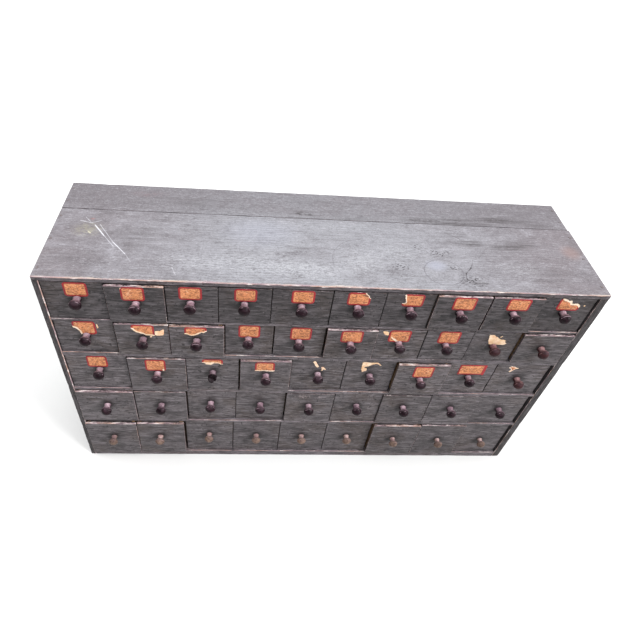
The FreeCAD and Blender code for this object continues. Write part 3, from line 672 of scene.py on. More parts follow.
def paper():
    """Gummed paper label: dull orange with a red rule round it, torn edges showing the pulp."""
    t = Tree("label_paper")
    p = t.shifted()
    rim, torn, scrap = t.attr("rim"), t.attr("torn"), t.attr("scrap")
    fade = t.noise(p, 45, 4, 0.6)
    fleck = t.noise(p, 380, 4, 0.65)
    mottle = t.noise(t.vector("MULTIPLY", p, (135.0, 135.0, 320.0)), 1.0, 3, 0.6, 1.2)
    foxed = t.noise(t.vector("ADD", p, (2.0, 5.0, 1.0)), 110, 4, 0.7, 1.5)
    crease = t.noise(t.vector("MULTIPLY", p, (70.0, 70.0, 110.0)), 1.0, 5, 0.6, 1.2)
    body = t.mix(t.step(fade, 0.34, 0.66), srgb(206, 130, 86), srgb(196, 126, 78))
    body = t.mix(t.mul(t.step(foxed, 0.48, 0.60), 0.55), body, srgb(158, 98, 62))
    body = t.mix(t.mul(t.step(mottle, 0.525, 0.585), 0.80), body, srgb(98, 56, 34))
    body = t.mix(t.mul(t.step(fleck, 0.55, 0.63), 0.66), body, srgb(90, 50, 34))
    body = t.mix(t.mul(t.step(mottle, 0.44, 0.36), 0.45), body, srgb(222, 160, 118))
    body = t.mix(t.mul(t.step(crease, 0.42, 0.30), 0.5), body, srgb(238, 190, 150))
    rule = t.mix(t.step(fade, 0.38, 0.66), srgb(142, 12, 22), srgb(122, 18, 26))
    rule = t.mix(t.mul(t.step(fleck, 0.60, 0.72), 0.5), rule, srgb(206, 96, 84))
    inner = t.add(rim, t.mul(t.add(mottle, -0.5), 1.0))
    ruled = t.step(inner, 4.4, 3.6)
    colour = t.mix(ruled, body, rule)
    outer = t.step(t.add(rim, t.mul(t.add(fleck, -0.5), 0.8)), 0.35, 0.0)
    colour = t.mix(t.mul(outer, 0.5), colour, srgb(108, 22, 28))
    pulp = t.mix(t.step(fade, 0.4, 0.6), srgb(228, 208, 188), srgb(222, 192, 160))
    pulp = t.mix(t.mul(t.step(fleck, 0.58, 0.72), 0.55), pulp, srgb(190, 144, 108))
    bare = t.step(t.add(torn, t.mul(t.add(crease, -0.5), 3.2)), 1.9, 1.1)
    colour = t.mix(bare, colour, pulp)
    old = t.mix(t.step(fade, 0.35, 0.65), srgb(212, 174, 132), srgb(230, 204, 176))
    old = t.mix(t.mul(t.step(mottle, 0.54, 0.68), 0.55), old, srgb(190, 132, 92))
    old = t.mix(t.mul(t.step(foxed, 0.52, 0.62), 0.5), old, srgb(212, 140, 104))
    colour = t.mix(scrap, colour, old)
    colour = t.mix(t.attr("shade"), colour, srgb(86, 56, 38))
    colour = t.times(colour, t.attr("tone"))
    height = t.add(t.mul(crease, 0.9), t.mul(fleck, 0.2), t.mul(bare, -0.25))
    return t.finish(colour, 0.74, t.bump(height, 0.0006, 0.6))


label_paper = paper()


# ------------------------------------------------------------------- drawers

def node_points(name):
    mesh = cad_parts[name].data
    co = np.zeros(len(mesh.vertices) * 3)
    mesh.vertices.foreach_get("co", co)
    return co.reshape(-1, 3)


# marks on the fronts: row, column, then place from the middle and the top
# edge, sizes, all in millimetres, kind and strength
MARKS = [
    (1, 2, 38, -22, 20, 16, "stain", 0.55), (1, 6, 41, -27, 6, 9, "stain", 0.9), (1, 6, 44, -72, 10, 8, "stain", 0.5),
    (1, 10, 48, -86, 10, 16, "stain", 0.6), (1, 10, -50, -96, 16, 10, "stain", 0.5), (1, 9, 40, -68, 6, 10, "stain", 0.6),
    (1, 1, -37, -56, 10, 12, "stain", 0.55), (1, 4, 40, -60, 14, 26, "stain", 0.35), (1, 8, 36, -92, 18, 12, "stain", 0.3),
    (2, 2, 26, -76, 5, 5, "stain", 1.0), (2, 1, 27, -78, 6, 5, "stain", 0.8), (2, 2, -44, -90, 8, 8, "stain", 0.6),
    (2, 5, 42, -52, 12, 7, "stain", 0.8), (2, 6, 37, -50, 6, 6, "stain", 0.85), (2, 3, 36, -80, 18, 16, "stain", 0.5),
    (2, 8, 44, -8, 14, 8, "stain", 0.6), (2, 8, -38, -14, 12, 14, "stain", 0.35), (2, 10, 28, -42, 6, 6, "stain", 0.6),
    (2, 10, -25, -27, 5, 5, "stain", 0.6), (2, 10, 22, -10, 14, 8, "stain", 0.35), (2, 4, 32, -82, 7, 9, "stain", 0.5),
    (3, 1, 37, -52, 10, 5, "stain", 0.55), (3, 1, 33, -82, 6, 6, "stain", 0.5), (3, 1, -31, -104, 8, 14, "stain", 0.5),
    (3, 3, 40, -30, 16, 14, "stain", 0.35), (3, 6, -44, -50, 16, 30, "stain", 0.45), (3, 6, 36, -40, 16, 22, "stain", 0.5),
    (3, 7, -52, -30, 8, 22, "stain", 0.55), (3, 4, 30, -80, 8, 9, "stain", 0.45), (3, 5, 34, -92, 7, 6, "stain", 0.45),
    (4, 1, -35, -30, 22, 7, "stain", 0.6), (4, 1, 43, -62, 14, 6, "stain", 0.6), (4, 1, 49, -20, 10, 6, "stain", 0.5),
    (4, 2, -22, -34, 9, 6, "stain", 0.5), (4, 2, 52, -56, 8, 6, "stain", 0.5), (4, 3, 44, -12, 12, 8, "stain", 0.55),
    (4, 3, -30, -8, 22, 8, "stain", 0.4), (4, 4, 20, -62, 10, 8, "stain", 0.95), (4, 4, 36, -48, 11, 8, "stain", 0.9),
    (4, 4, 30, -26, 12, 9, "stain", 0.85), (4, 4, -20, -8, 16, 6, "stain", 0.5), (4, 5, -40, -96, 16, 12, "stain", 0.5),
    (4, 5, 36, -92, 12, 12, "stain", 0.5), (4, 7, 50, -34, 13, 9, "stain", 0.7), (4, 8, -46, -40, 16, 14, "stain", 0.5),
    (4, 8, -30, -76, 12, 10, "stain", 0.35), (4, 9, 40, -30, 14, 10, "stain", 0.35), (4, 6, 44, -40, 14, 12, "stain", 0.35),
    (5, 1, -17, -40, 30, 8, "stain", 0.55), (5, 1, 23, -52, 24, 7, "stain", 0.55), (5, 1, -27, -96, 20, 8, "stain", 0.4),
    (5, 2, 10, -34, 8, 20, "stain", 0.65), (5, 2, -38, -50, 20, 8, "stain", 0.5), (5, 2, 40, -96, 14, 10, "stain", 0.4),
    (5, 7, -44, -90, 24, 8, "stain", 0.55), (5, 7, 20, -30, 30, 9, "stain", 0.45), (5, 7, -40, -40, 26, 10, "stain", 0.45),
    (5, 8, 38, -10, 26, 9, "stain", 0.95), (5, 8, -30, -10, 34, 9, "stain", 0.75), (5, 8, -50, -40, 20, 9, "stain", 0.6),
    (5, 8, 30, -110, 26, 9, "stain", 0.5), (5, 8, -52, -132, 8, 8, "stain", 0.95), (5, 6, -30, -60, 16, 8, "stain", 0.45),
    (5, 4, 20, -110, 20, 10, "stain", 0.3), (5, 9, -40, -90, 16, 10, "stain", 0.35), (5, 3, -40, -40, 18, 8, "stain", 0.4),
    (4, 5, -18, -12, 40, 13, "ghost", 0.72), (4, 5, 24, -14, 22, 10, "ghost", 0.62), (4, 3, 0, -26, 40, 18, "ghost", 0.34),
    (1, 5, 28, -78, 9, 7, "ghost", 0.6), (1, 2, 28, -78, 8, 7, "ghost", 0.55), (1, 10, 38, -23, 5, 4, "ghost", 0.8),
    (2, 1, 34, -16, 12, 16, "ghost", 0.5), (2, 7, -43, -33, 9, 7, "ghost", 0.55), (2, 7, 29, -25, 7, 6, "ghost", 0.5),
    (3, 6, 6, -38, 22, 12, "ghost", 0.40), (3, 3, -2, -36, 22, 8, "ghost", 0.30), (5, 7, -10, -104, 30, 6, "ghost", 0.35),
    (1, 8, -54, -16, 16, 3, "ghost", 0.5), (3, 9, -10, -40, 16, 12, "ghost", 0.25), (2, 9, 6, -58, 10, 6, "ghost", 0.3),
]


def row_light_tone(r, c, seed):
    """Each front's tone: the lower rows are paler and greyer and the top row darkest, painted light and shade for how
    the light falls on each row.
    """
    base = {1: 0.59, 2: 0.83, 3: 0.95, 4: 0.92, 5: 0.84}[r]
    return base * (0.90 + 0.20 * seed)


def box_part(lo, hi, step, r, seed):
    moved, rest, quads, sides = plank(lo, hi, step, r, seed, near=(0.0, 0.35, 0.9))
    return moved, quads


def build_drawer(r, c):
    name = "drawer_r%d_c%02d" % (r, c)
    lo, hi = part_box(name)
    yf = hi.y - LONG
    rng = np.random.RandomState(1000 * r + c)
    seed = rng.rand()
    pts = node_points(name)
    pts = pts[pts[:, 1] < yf - 0.002]
    kx, kz = (pts[:, 0].min() + pts[:, 0].max()) / 2, (pts[:, 2].min() + pts[:, 2].max()) / 2
    proud = FRONT_Y - yf
    x0, x1, z0, z1 = lo.x, hi.x, lo.z, hi.z

    # the front's face plate
    moved, rest, quads, sides = plank((x0, yf, z0), (x1, yf + 0.006, z1), (0.007, 0.002, 0.007),
                                      1.0 * MM, 100 * r + c, chips=1.6 * MM)
    df = rest[:, 1] - yf
    dt, db, dl, dr = z1 - rest[:, 2], rest[:, 2] - z0, rest[:, 0] - x0, x1 - rest[:, 0]
    stands = smooth(np.array([proud]), 0.0, 0.004)[0]
    sides_wear = 0.38 + 0.28 * stands + 0.14 * rng.rand()
    wear = np.maximum.reduce([
        arris(dt, df, 0.56 + 0.44 * stands, 1.3 * MM),
        arris(db, df, 0.34 + 0.10 * rng.rand(), 1.0 * MM),
        arris(dl, df, sides_wear, 1.0 * MM),
        arris(dr, df, sides_wear, 1.0 * MM)])
    # the upper edge of a front that stands out is rubbed bare for its whole depth
    ledge = (dt < 1.0 * MM) & (df < proud + 0.001)
    wear = np.where(ledge, np.maximum(wear, 0.26 + 0.28 * stands), wear)
    stain = np.zeros(len(rest))
    ghost = np.zeros(len(rest))
    xc = (x0 + x1) / 2
    for mr, mc, mx, mz, sx, sz, kind, depth in MARKS:
        if (mr, mc) == (r, c):
            d = np.hypot((rest[:, 0] - xc - mx * MM) / (sx * MM), (rest[:, 2] - z1 - mz * MM) / (sz * MM))
            bell = depth * np.clip(1.25 - d, 0, 1) * (df < 0.001)
            if kind == "stain":
                stain = np.maximum(stain, bell)
            else:
                ghost = np.maximum(ghost, bell)
    knob = np.hypot(rest[:, 0] - kx, rest[:, 2] - kz) / MM
    # dirt gathers beside and under the knob, where the fingers reach; the dark patch is also a painted shadow, set to
    # the left of and below the knob
    grime_and_shadow = np.hypot(rest[:, 0] - kx + 11 * MM, rest[:, 2] - kz + 6 * MM) / MM
    knob = np.minimum(knob, 4 + grime_and_shadow * 1.25)
    parts = [(moved, quads, np.where(sides == 3, 1, 0))]
    n_face = len(moved)

    # the rebated part behind it, the two sides, the back and the bottom
    lip, st, glue, floor = 5 * MM, 8 * MM, 0.15 * MM, 6 * MM
    side_in = lip + st + glue
    above = floor + glue
    side_top = (z1 - z0) - 6 * MM
    back_top = side_top - 8 * MM
    ye = hi.y
    coarse = (0.03, 0.03, 0.03)
    blocks = [
        ((x0 + side_in, yf + 6 * MM, z0 + above), (x1 - side_in, yf + 16 * MM, z1), 0.25),
        ((x0 + lip, yf + 6.15 * MM, z0 + above), (x0 + lip + st, ye, z0 + side_top), 0.7),
        ((x1 - lip - st, yf + 6.15 * MM, z0 + above), (x1 - lip, ye, z0 + side_top), 0.7),
        ((x0 + side_in, ye - 8 * MM, z0 + above), (x1 - side_in, ye, z0 + back_top), 0.5),
        ((x0 + lip, yf + 6.15 * MM, z0), (x1 - lip, ye, z0 + floor), 0.5),
    ]
    for n, (a, b, rr) in enumerate(blocks):
        v, q = box_part(a, b, coarse, rr * MM, 7 * n + 31 * c + r)
        parts.append((v, q, np.full(len(q), 0 if n == 0 else 1)))
        if n == 0:
            n_lip = len(v)
    # nail heads in the sides, through to the front and the back
    ring = np.linspace(0, 2 * math.pi, 10, endpoint=False)
    for side, sx in ((x0 + lip, -1), (x1 - lip, 1)):
        for ny in (yf + 11 * MM, ye - 4 * MM):
            for share in (0.18, 0.5, 0.82):
                nz = z0 + above + (back_top - above) * share
                disc, faces = [], []
                for depth_, rad in ((-0.4, 1.5), (0.15, 1.5), (0.3, 1.1)):
                    for a in ring:
                        disc.append((side + sx * depth_ * MM, ny + rad * MM * math.cos(a), nz + rad * MM * math.sin(a)))
                disc.append((side + sx * 0.32 * MM, ny, nz))
                disc.append((side - sx * 0.4 * MM, ny, nz))
                m = len(ring)
                for k in range(m):
                    j = (k + 1) % m
                    for level in (0, 1):
                        faces.append([level * m + k, level * m + j, (level + 1) * m + j, (level + 1) * m + k])
                    faces.append([2 * m + k, 2 * m + j, 3 * m, 3 * m])
                    faces.append([j, k, 3 * m + 1, 3 * m + 1])
                if sx < 0:
                    faces = [f[::-1] for f in faces]
                parts.append((np.array(disc), faces, np.full(len(faces), 2)))

    verts, faces, which, base = [], [], [], 0
    for v, q, w in parts:
        verts.append(v)
        for f in np.asarray(q) + base:
            f = list(dict.fromkeys(int(i) for i in f))
            faces.append(f)
        which.append(np.asarray(w))
        base += len(v)
    verts = np.concatenate(verts)
    rest_n = len(verts) - n_face
    # the rebated lip above the face plate takes 0.55 of the front's tone, a painted shade in the gap above the front
    tone = row_light_tone(r, c, seed)
    obj = make(name.replace("drawer", "drawer_body"), verts, faces, [paint_front, wood_inner, nail_rusty],
               np.concatenate(which),
               {"wear": np.concatenate([wear, np.zeros(rest_n)]),
                "stain": np.concatenate([stain, np.zeros(rest_n)]),
                "ghost": np.concatenate([ghost, np.zeros(rest_n)]),
                "knob": np.concatenate([knob, np.full(rest_n, 90.0)]),
                "tone": np.concatenate([np.full(n_face, tone), np.full(n_lip, 0.55 * tone),
                                        np.full(rest_n - n_lip, 0.9 + 0.2 * seed)]),
                "seed": np.full(len(verts), seed)})
    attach(obj, name)
    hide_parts(name)
    build_knob(r, c, name, kx, kz, yf, lo.y, rng, seed)
    if (r, c) in LABELS:
        build_label(r, c, name, xc, z1, yf, seed)


def knob_profile(foot, neck, neck_in, head, head_at, dome):
    """Radius and height of a turned knob, as a list from the seat to the tip."""
    out = [(0.0, 0.1), (foot * 0.6, 0.1), (foot, 0.1), (foot, 1.4), (foot - 0.15, 2.0), (foot - 0.6, 2.5)]
    waist = min(foot, neck) - 1.0
    for k in range(1, 9):                                  # hollow waist
        t = k / 9
        r = (1 - t) ** 2 * (foot - 0.6) + 2 * t * (1 - t) * (waist - 0.4) + t ** 2 * neck
        out.append((r, 2.5 + (neck_in - 2.5) * t))
    for k in range(0, 8):                                  # underside of the head
        a = k / 8 * math.pi / 2
        out.append((neck + (head - neck) * math.sin(a), neck_in + (head_at - 0.7 - neck_in) * (1 - math.cos(a))))
    out.append((head, head_at - 0.5))
    out.append((head - 0.05, head_at + 0.25))
    out.append((head - 0.35, head_at + 0.75))
    # the dome, an arc about a point on the axis
    radius = (head * head + dome * dome) / (2 * dome)
    first = math.asin((head - 0.8) / radius)
    for k in range(0, 11):
        a = first * (1 - k / 11)
        out.append((radius * math.sin(a), head_at + dome - radius * (1 - math.cos(a)) - 0.05))
    out.append((0.0, head_at + dome - 0.05))
    return out


def build_knob(r, c, body, kx, kz, yf, tip_y, rng, seed):
    small = r == 5
    if small:
        profile = knob_profile(8.0, 7.2, 10.5, 12.2, 17.5, 7.5)
    else:
        profile = knob_profile(9.2, 8.8, 11.0, 13.0, 19.5, 9.0)
    top = (yf - tip_y) / MM
    broken = (r, c) == (3, 3)
    if broken:
        # the head has broken off; a hollow, splintered stump is left
        profile = [p for p in profile if p[1] < 13.0]
        profile += [(9.4, 14.5), (9.8, 16.0), (10.2, 18.0), (10.3, 20.6), (9.4, 21.4), (8.2, 19.4), (6.4, 17.2),
                    (3.4, 15.6), (0.0, 15.0)]
    n = 40
    angles = np.linspace(0, 2 * math.pi, n, endpoint=False)
    oval = 0.018 * rng.rand()
    turn = rng.rand() * math.pi
    verts, high, rings = [], [], []
    for rad, h in profile:
        if rad == 0.0:
            rings.append([len(verts)])
            verts.append((kx, yf - h * MM, kz))
            high.append(h / top)
            continue
        idx = []
        for a in angles:
            wob = 1 + oval * math.cos(2 * (a - turn))
            hh = h
            rr = rad * wob
            if broken and h > 15.5:
                jag = (math.sin(a * 3 + 1.1) * 1.9 + math.sin(a * 7 + 0.4) * 1.2 + math.sin(a * 13) * 0.7
                       + 3.2 * math.cos(a + 1.9))
                hh = h + jag * smooth(np.array([h]), 15.5, 19.0)[0] - 1.0
                rr = rad + 0.35 * math.sin(a * 9 + h)
            idx.append(len(verts))
            verts.append((kx + rr * MM * math.cos(a), yf - hh * MM, kz + rr * MM * math.sin(a)))
            high.append(hh / top)
        rings.append(idx)
    verts = np.array(verts)
    if not broken:
        # dents and flats from years of hands
        centre = np.array([kx, yf - 12 * MM, kz])
        d = verts - centre
        push = -0.55 * MM * layered(verts, 150, 40 + r * 11 + c, 2) ** 2
        onhead = smooth(np.array(high), 0.60, 0.72)
        verts = verts + d / np.maximum(np.linalg.norm(d, axis=1, keepdims=True), 1e-6) * (push * onhead)[:, None]
    # keep inside the piece that it stands for
    verts[:, 1] = np.maximum(verts[:, 1], tip_y)
    faces = []
    for a, b in zip(rings, rings[1:]):
        if len(a) == 1:
            faces += [[a[0], b[k], b[(k + 1) % n]] for k in range(n)]
        elif len(b) == 1:
            faces += [[a[k], b[0], a[(k + 1) % n]] for k in range(n)]
        else:
            faces += [[a[k], b[k], b[(k + 1) % n], a[(k + 1) % n]] for k in range(n)]
    material = knob_pale if small else (knob_red if (r, c) in ((2, 10), (3, 9), (2, 9)) else knob_dark)
    if broken:
        high = [h if h < 0.50 else 1.0 for h in high]
    obj = make("knob_r%d_c%02d" % (r, c), verts, faces, [material], None,
               {"high": high, "seed": np.full(len(verts), seed + 2),
                "tone": np.full(len(verts), (0.85 + 0.35 * rng.rand()) * (0.55 if broken else 1.0))})
    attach(obj, body)


# -------------------------------------------------------------------- labels
# Places in millimetres from the middle of the front and from its top edge.
# box: left, right, top, bottom. cut: what is torn off. bare: where only the
# pulp is left. scraps: loose remnants beside the label.

LABELS = {
    (1, 1): dict(box=(-19, 29.2, -0.8, -41.6)),
    (1, 2): dict(box=(-27.9, 20.4, -1.5, -42), bare=[[(-29, -3), (-25, -4.5), (-26, -9.5), (-29, -9)]]),
    (1, 3): dict(box=(-26.8, 21.5, -0.6, -38.6)),
    (1, 4): dict(box=(-22.7, 25, -0.6, -38.6)),
    (1, 5): dict(box=(-23.5, 26.2, -0.6, -39.3)),
    (1, 6): dict(box=(-26.3, 23.7, -0.6, -39.4),
                 cut=[[(10, 2), (26, 2), (26, -17), (21.5, -14), (18, -8), (13, -3)]],
                 shade=[[(2, -7), (10, -6.5), (17.5, -9.5), (20, -14), (12, -11.5), (5, -9.5)]], curl=1.0),
    (1, 7): dict(box=(-18.2, 28.8, -0.6, -38.4),
                 cut=[[(-20, -3), (-15.5, -4), (-13.5, -14), (-10, -26.5), (-14, -28), (-20, -27)]],
                 bare=[[(-16.5, -1), (-13, -1), (-8.5, -25), (-12.5, -27)]],
                 shade=[[(-16.5, -14), (-12.6, -14), (-9.4, -27), (-12, -27.5)]], curl=1.2),
    (1, 8): dict(box=(-23, 28, -0.6, -41)),
    (1, 9): dict(box=(-22.8, 28.6, -0.6, -38.2)),
    (1, 10): dict(box=(-24.6, 27.4, -1.2, -39.2),
                  cut=[[(-18, 3), (-17, -1.5), (-10, -4.5), (-4, -8), (-2, -7), (2, -6.5), (4, -11), (6, -16.5),
                        (12, -17), (18, -16.5), (24.4, -19), (29, -25), (40, -25), (40, 5), (-18, 5)]], margin=4.4,
                  scraps=[[(35.5, -21.5), (38, -20.5), (39.4, -23), (37.5, -25.4), (36, -24)]]),
    (2, 1): dict(box=(-25, 24.3, -2.5, -46),
                 cut=[[(-27, -21), (-21, -24), (-16, -30), (-12, -36), (-10.5, -50), (-27, -50)]], margin=4.2,
                 scraps=[[(26, -10), (29, -12), (30.5, -22), (27.5, -25), (26.2, -18)]]),
    (2, 2): dict(box=(-22.3, 27, -0.6, -42),
                 cut=[[(-26, -13), (-20, -15), (-14, -24), (-6, -28), (2, -31), (8, -35), (20, -36), (30, -37.5),
                       (30, -52), (-26, -52)]], margin=4.0,
                 scraps=[[(27.7, -22), (32, -20), (40, -19), (47, -13), (49, -15), (47.5, -27), (46, -34), (34, -36),
                          (28, -34)],
                         [(15.7, -38.4), (20, -37.2), (21.7, -39), (19, -42), (16.5, -40.8)]]),
    (2, 3): dict(box=(-27, 22, -1, -42),
                 cut=[[(-28, -24), (-23, -24.5), (-17, -28), (-10, -30), (-4, -28), (0, -25), (6, -22), (11, -18),
                       (15, -19), (20, -15), (24, -14), (24, -50), (-28, -50)]], margin=3.0),
    (2, 4): dict(box=(-24.7, 24.3, -2.2, -44.6)),
    (2, 5): dict(box=(-22.2, 26.6, -4.2, -47.2)),
    (2, 6): dict(box=(-25.8, 25.2, -1, -42)),
    (2, 7): dict(box=(-29.1, 22.3, -0.8, -42),
                 bare=[[(-23, -23), (-18, -26), (-10, -33), (-4, -39), (-9, -40), (-15, -34), (-22, -28)]],
                 scraps=[[(-45, -5), (-40, -4), (-36, -5), (-31.5, -8), (-30, -17), (-33, -18.5), (-38, -17),
                          (-41, -14), (-44, -10)]]),
    (2, 8): dict(box=(-25.2, 26, -1, -44)),
    (2, 9): dict(box=None,
                 scraps=[[(-19.6, -8.2), (-14, -9), (-8.6, -8.2), (-6, -11), (-2.6, -14.2), (3.4, -16.2), (5, -20),
                          (9, -22), (13.4, -25.2), (19, -25), (26.4, -28.2), (25, -32), (30.4, -38), (28, -42),
                          (23.4, -44), (8, -43), (-10.6, -42.5), (-15.6, -32), (-17.6, -20)],
                         [(8, -15), (12, -11), (14, -13), (11, -17), (9, -19)]]),
    (3, 1): dict(box=(-22.5, 24.7, -3.1, -44.8)),
    (3, 2): dict(box=(-27.2, 20.7, -3.6, -46.6), bare=[[(12, -41), (16, -38), (16, -47), (13, -46)]]),
    (3, 3): dict(box=(-25, 24.5, -0.6, -42),
                 cut=[[(-27, -13.5), (-20, -15), (-15.6, -19.5), (-9, -21), (-4.5, -22), (-1, -18), (4.5, -14.5),
                       (10, -14), (15.6, -15.4), (19, -19), (27, -19), (27, -50), (-27, -50)]], margin=2.4,
                 bare=[[(-26, -12), (-14, -12.5), (-6, -13), (3, -11), (3, -15), (-4, -24), (-26, -24)]]),
    (3, 4): dict(box=(-26.3, 21.2, -3.3, -42),
                 cut=[[(-28, -37), (-16, -38.2), (-4, -37), (10, -38.6), (23, -37), (23, -50), (-28, -50)]], margin=3.2),
    (3, 5): dict(box=None,
                 scraps=[[(-15, -9.6), (-11, -5), (-8, -8), (-4, -17), (1.6, -27.4), (-1.8, -30.8), (-5, -29),
                          (-9.6, -20.7), (-12, -14)],
                         [(6.6, -29.6), (12.7, -28.5), (16, -33), (20.5, -38.6), (18, -40.4), (13.5, -38),
                          (12.5, -42), (10, -45), (8.2, -43), (9.6, -37)]]),
    (3, 6): dict(box=None,
                 scraps=[[(-23, -7.4), (-18.5, -5.1), (-6, -7), (2.7, -7.4), (13.8, -6.2), (20, -11), (26, -18.5),
                          (22, -17.5), (16, -12.5), (10, -12), (4.9, -13.5), (-1, -18), (-6.2, -21.8), (-13, -23.5),
                          (-15.2, -25.2), (-15.2, -28.5), (-9.5, -30.4), (-8.5, -34), (-8.5, -40.8), (-14, -43),
                          (-18.5, -46.4), (-21.8, -36.3), (-22.6, -22)]], old=1.0),
    (3, 7): dict(box=(-23.4, 26.7, -4.5, -49)),
    (3, 8): dict(box=(-33.2, 32.4, -8, -47.5), round=1.2, second=(31.4, 36.0, -8.4, -49.4)),
    (3, 9): dict(box=None, redden=1.0,
                 scraps=[[(-37.2, -15.2), (-30.5, -9.6), (-26, -11.5), (-21.6, -11.8), (-17, -15), (-10.5, -16.3),
                          (-13, -18.5), (-17.2, -19.6), (-20, -23), (-22.7, -26.3), (-25, -31), (-28.3, -34),
                          (-32.8, -31.9), (-29, -28), (-28.3, -24), (-30, -20), (-33.4, -19)]]),
}


def inside(points, poly):
    """How far each point is inside a polygon; outside is negative."""
    poly = np.array(poly, float)
    nearest = np.full(len(points), 1e9)
    odd = np.zeros(len(points), bool)
    for a, b in zip(poly, np.roll(poly, -1, axis=0)):
        d = b - a
        t = np.clip(((points - a) @ d) / (d @ d), 0, 1)
        nearest = np.minimum(nearest, np.hypot(*(points - a - t[:, None] * d).T))
        crosses = (a[1] > points[:, 1]) != (b[1] > points[:, 1])
        with np.errstate(divide="ignore", invalid="ignore"):
            where = (b[0] - a[0]) * (points[:, 1] - a[1]) / (b[1] - a[1]) + a[0]
        odd ^= crosses & (points[:, 0] < where)
    return np.where(odd, nearest, -nearest)


def inside_round(points, box, corner):
    """How far each point is inside a rectangle with round corners."""
    x0, x1, z1, z0 = box
    cx, cz = (x0 + x1) / 2, (z0 + z1) / 2
    q = np.abs(points - (cx, cz)) - ((x1 - x0) / 2 - corner, (z1 - z0) / 2 - corner)
    outside = np.hypot(np.maximum(q[:, 0], 0), np.maximum(q[:, 1], 0))
    return -(outside + np.minimum(q.max(1), 0) - corner)


def trim(field, grid_x, grid_z):
    """Triangles of the grid where the field is positive, cut off along its zero line."""
    nx, nz = len(grid_x), len(grid_z)
    verts, known, tris = [], {}, []

    def corner(i):
        if ("v", i) not in known:
            known[("v", i)] = len(verts)
            verts.append((grid_x[i // nz], grid_z[i % nz]))
        return known[("v", i)]

    def between(i, j):
        key = ("e", min(i, j), max(i, j))
        if key not in known:
            i, j = key[1], key[2]
            t = min(max(field[i] / (field[i] - field[j]), 0.02), 0.98)
            known[key] = len(verts)
            verts.append((grid_x[i // nz] * (1 - t) + grid_x[j // nz] * t,
                          grid_z[i % nz] * (1 - t) + grid_z[j % nz] * t))
        return known[key]

    for a in range(nx - 1):
        for b in range(nz - 1):
            p, q, r, s = a * nz + b, (a + 1) * nz + b, (a + 1) * nz + b + 1, a * nz + b + 1
            if max(field[p], field[q], field[r], field[s]) <= 0:
                continue
            for tri in ((p, q, r), (p, r, s)):
                keep = [field[i] > 0 for i in tri]
                if all(keep):
                    tris.append([corner(i) for i in tri])
                elif any(keep):
                    out = []
                    for k in range(3):
                        i, j = tri[k], tri[(k + 1) % 3]
                        if field[i] > 0:
                            out.append(corner(i))
                        if (field[i] > 0) != (field[j] > 0):
                            out.append(between(i, j))
                    tris.append(out)
    return np.array(verts), tris


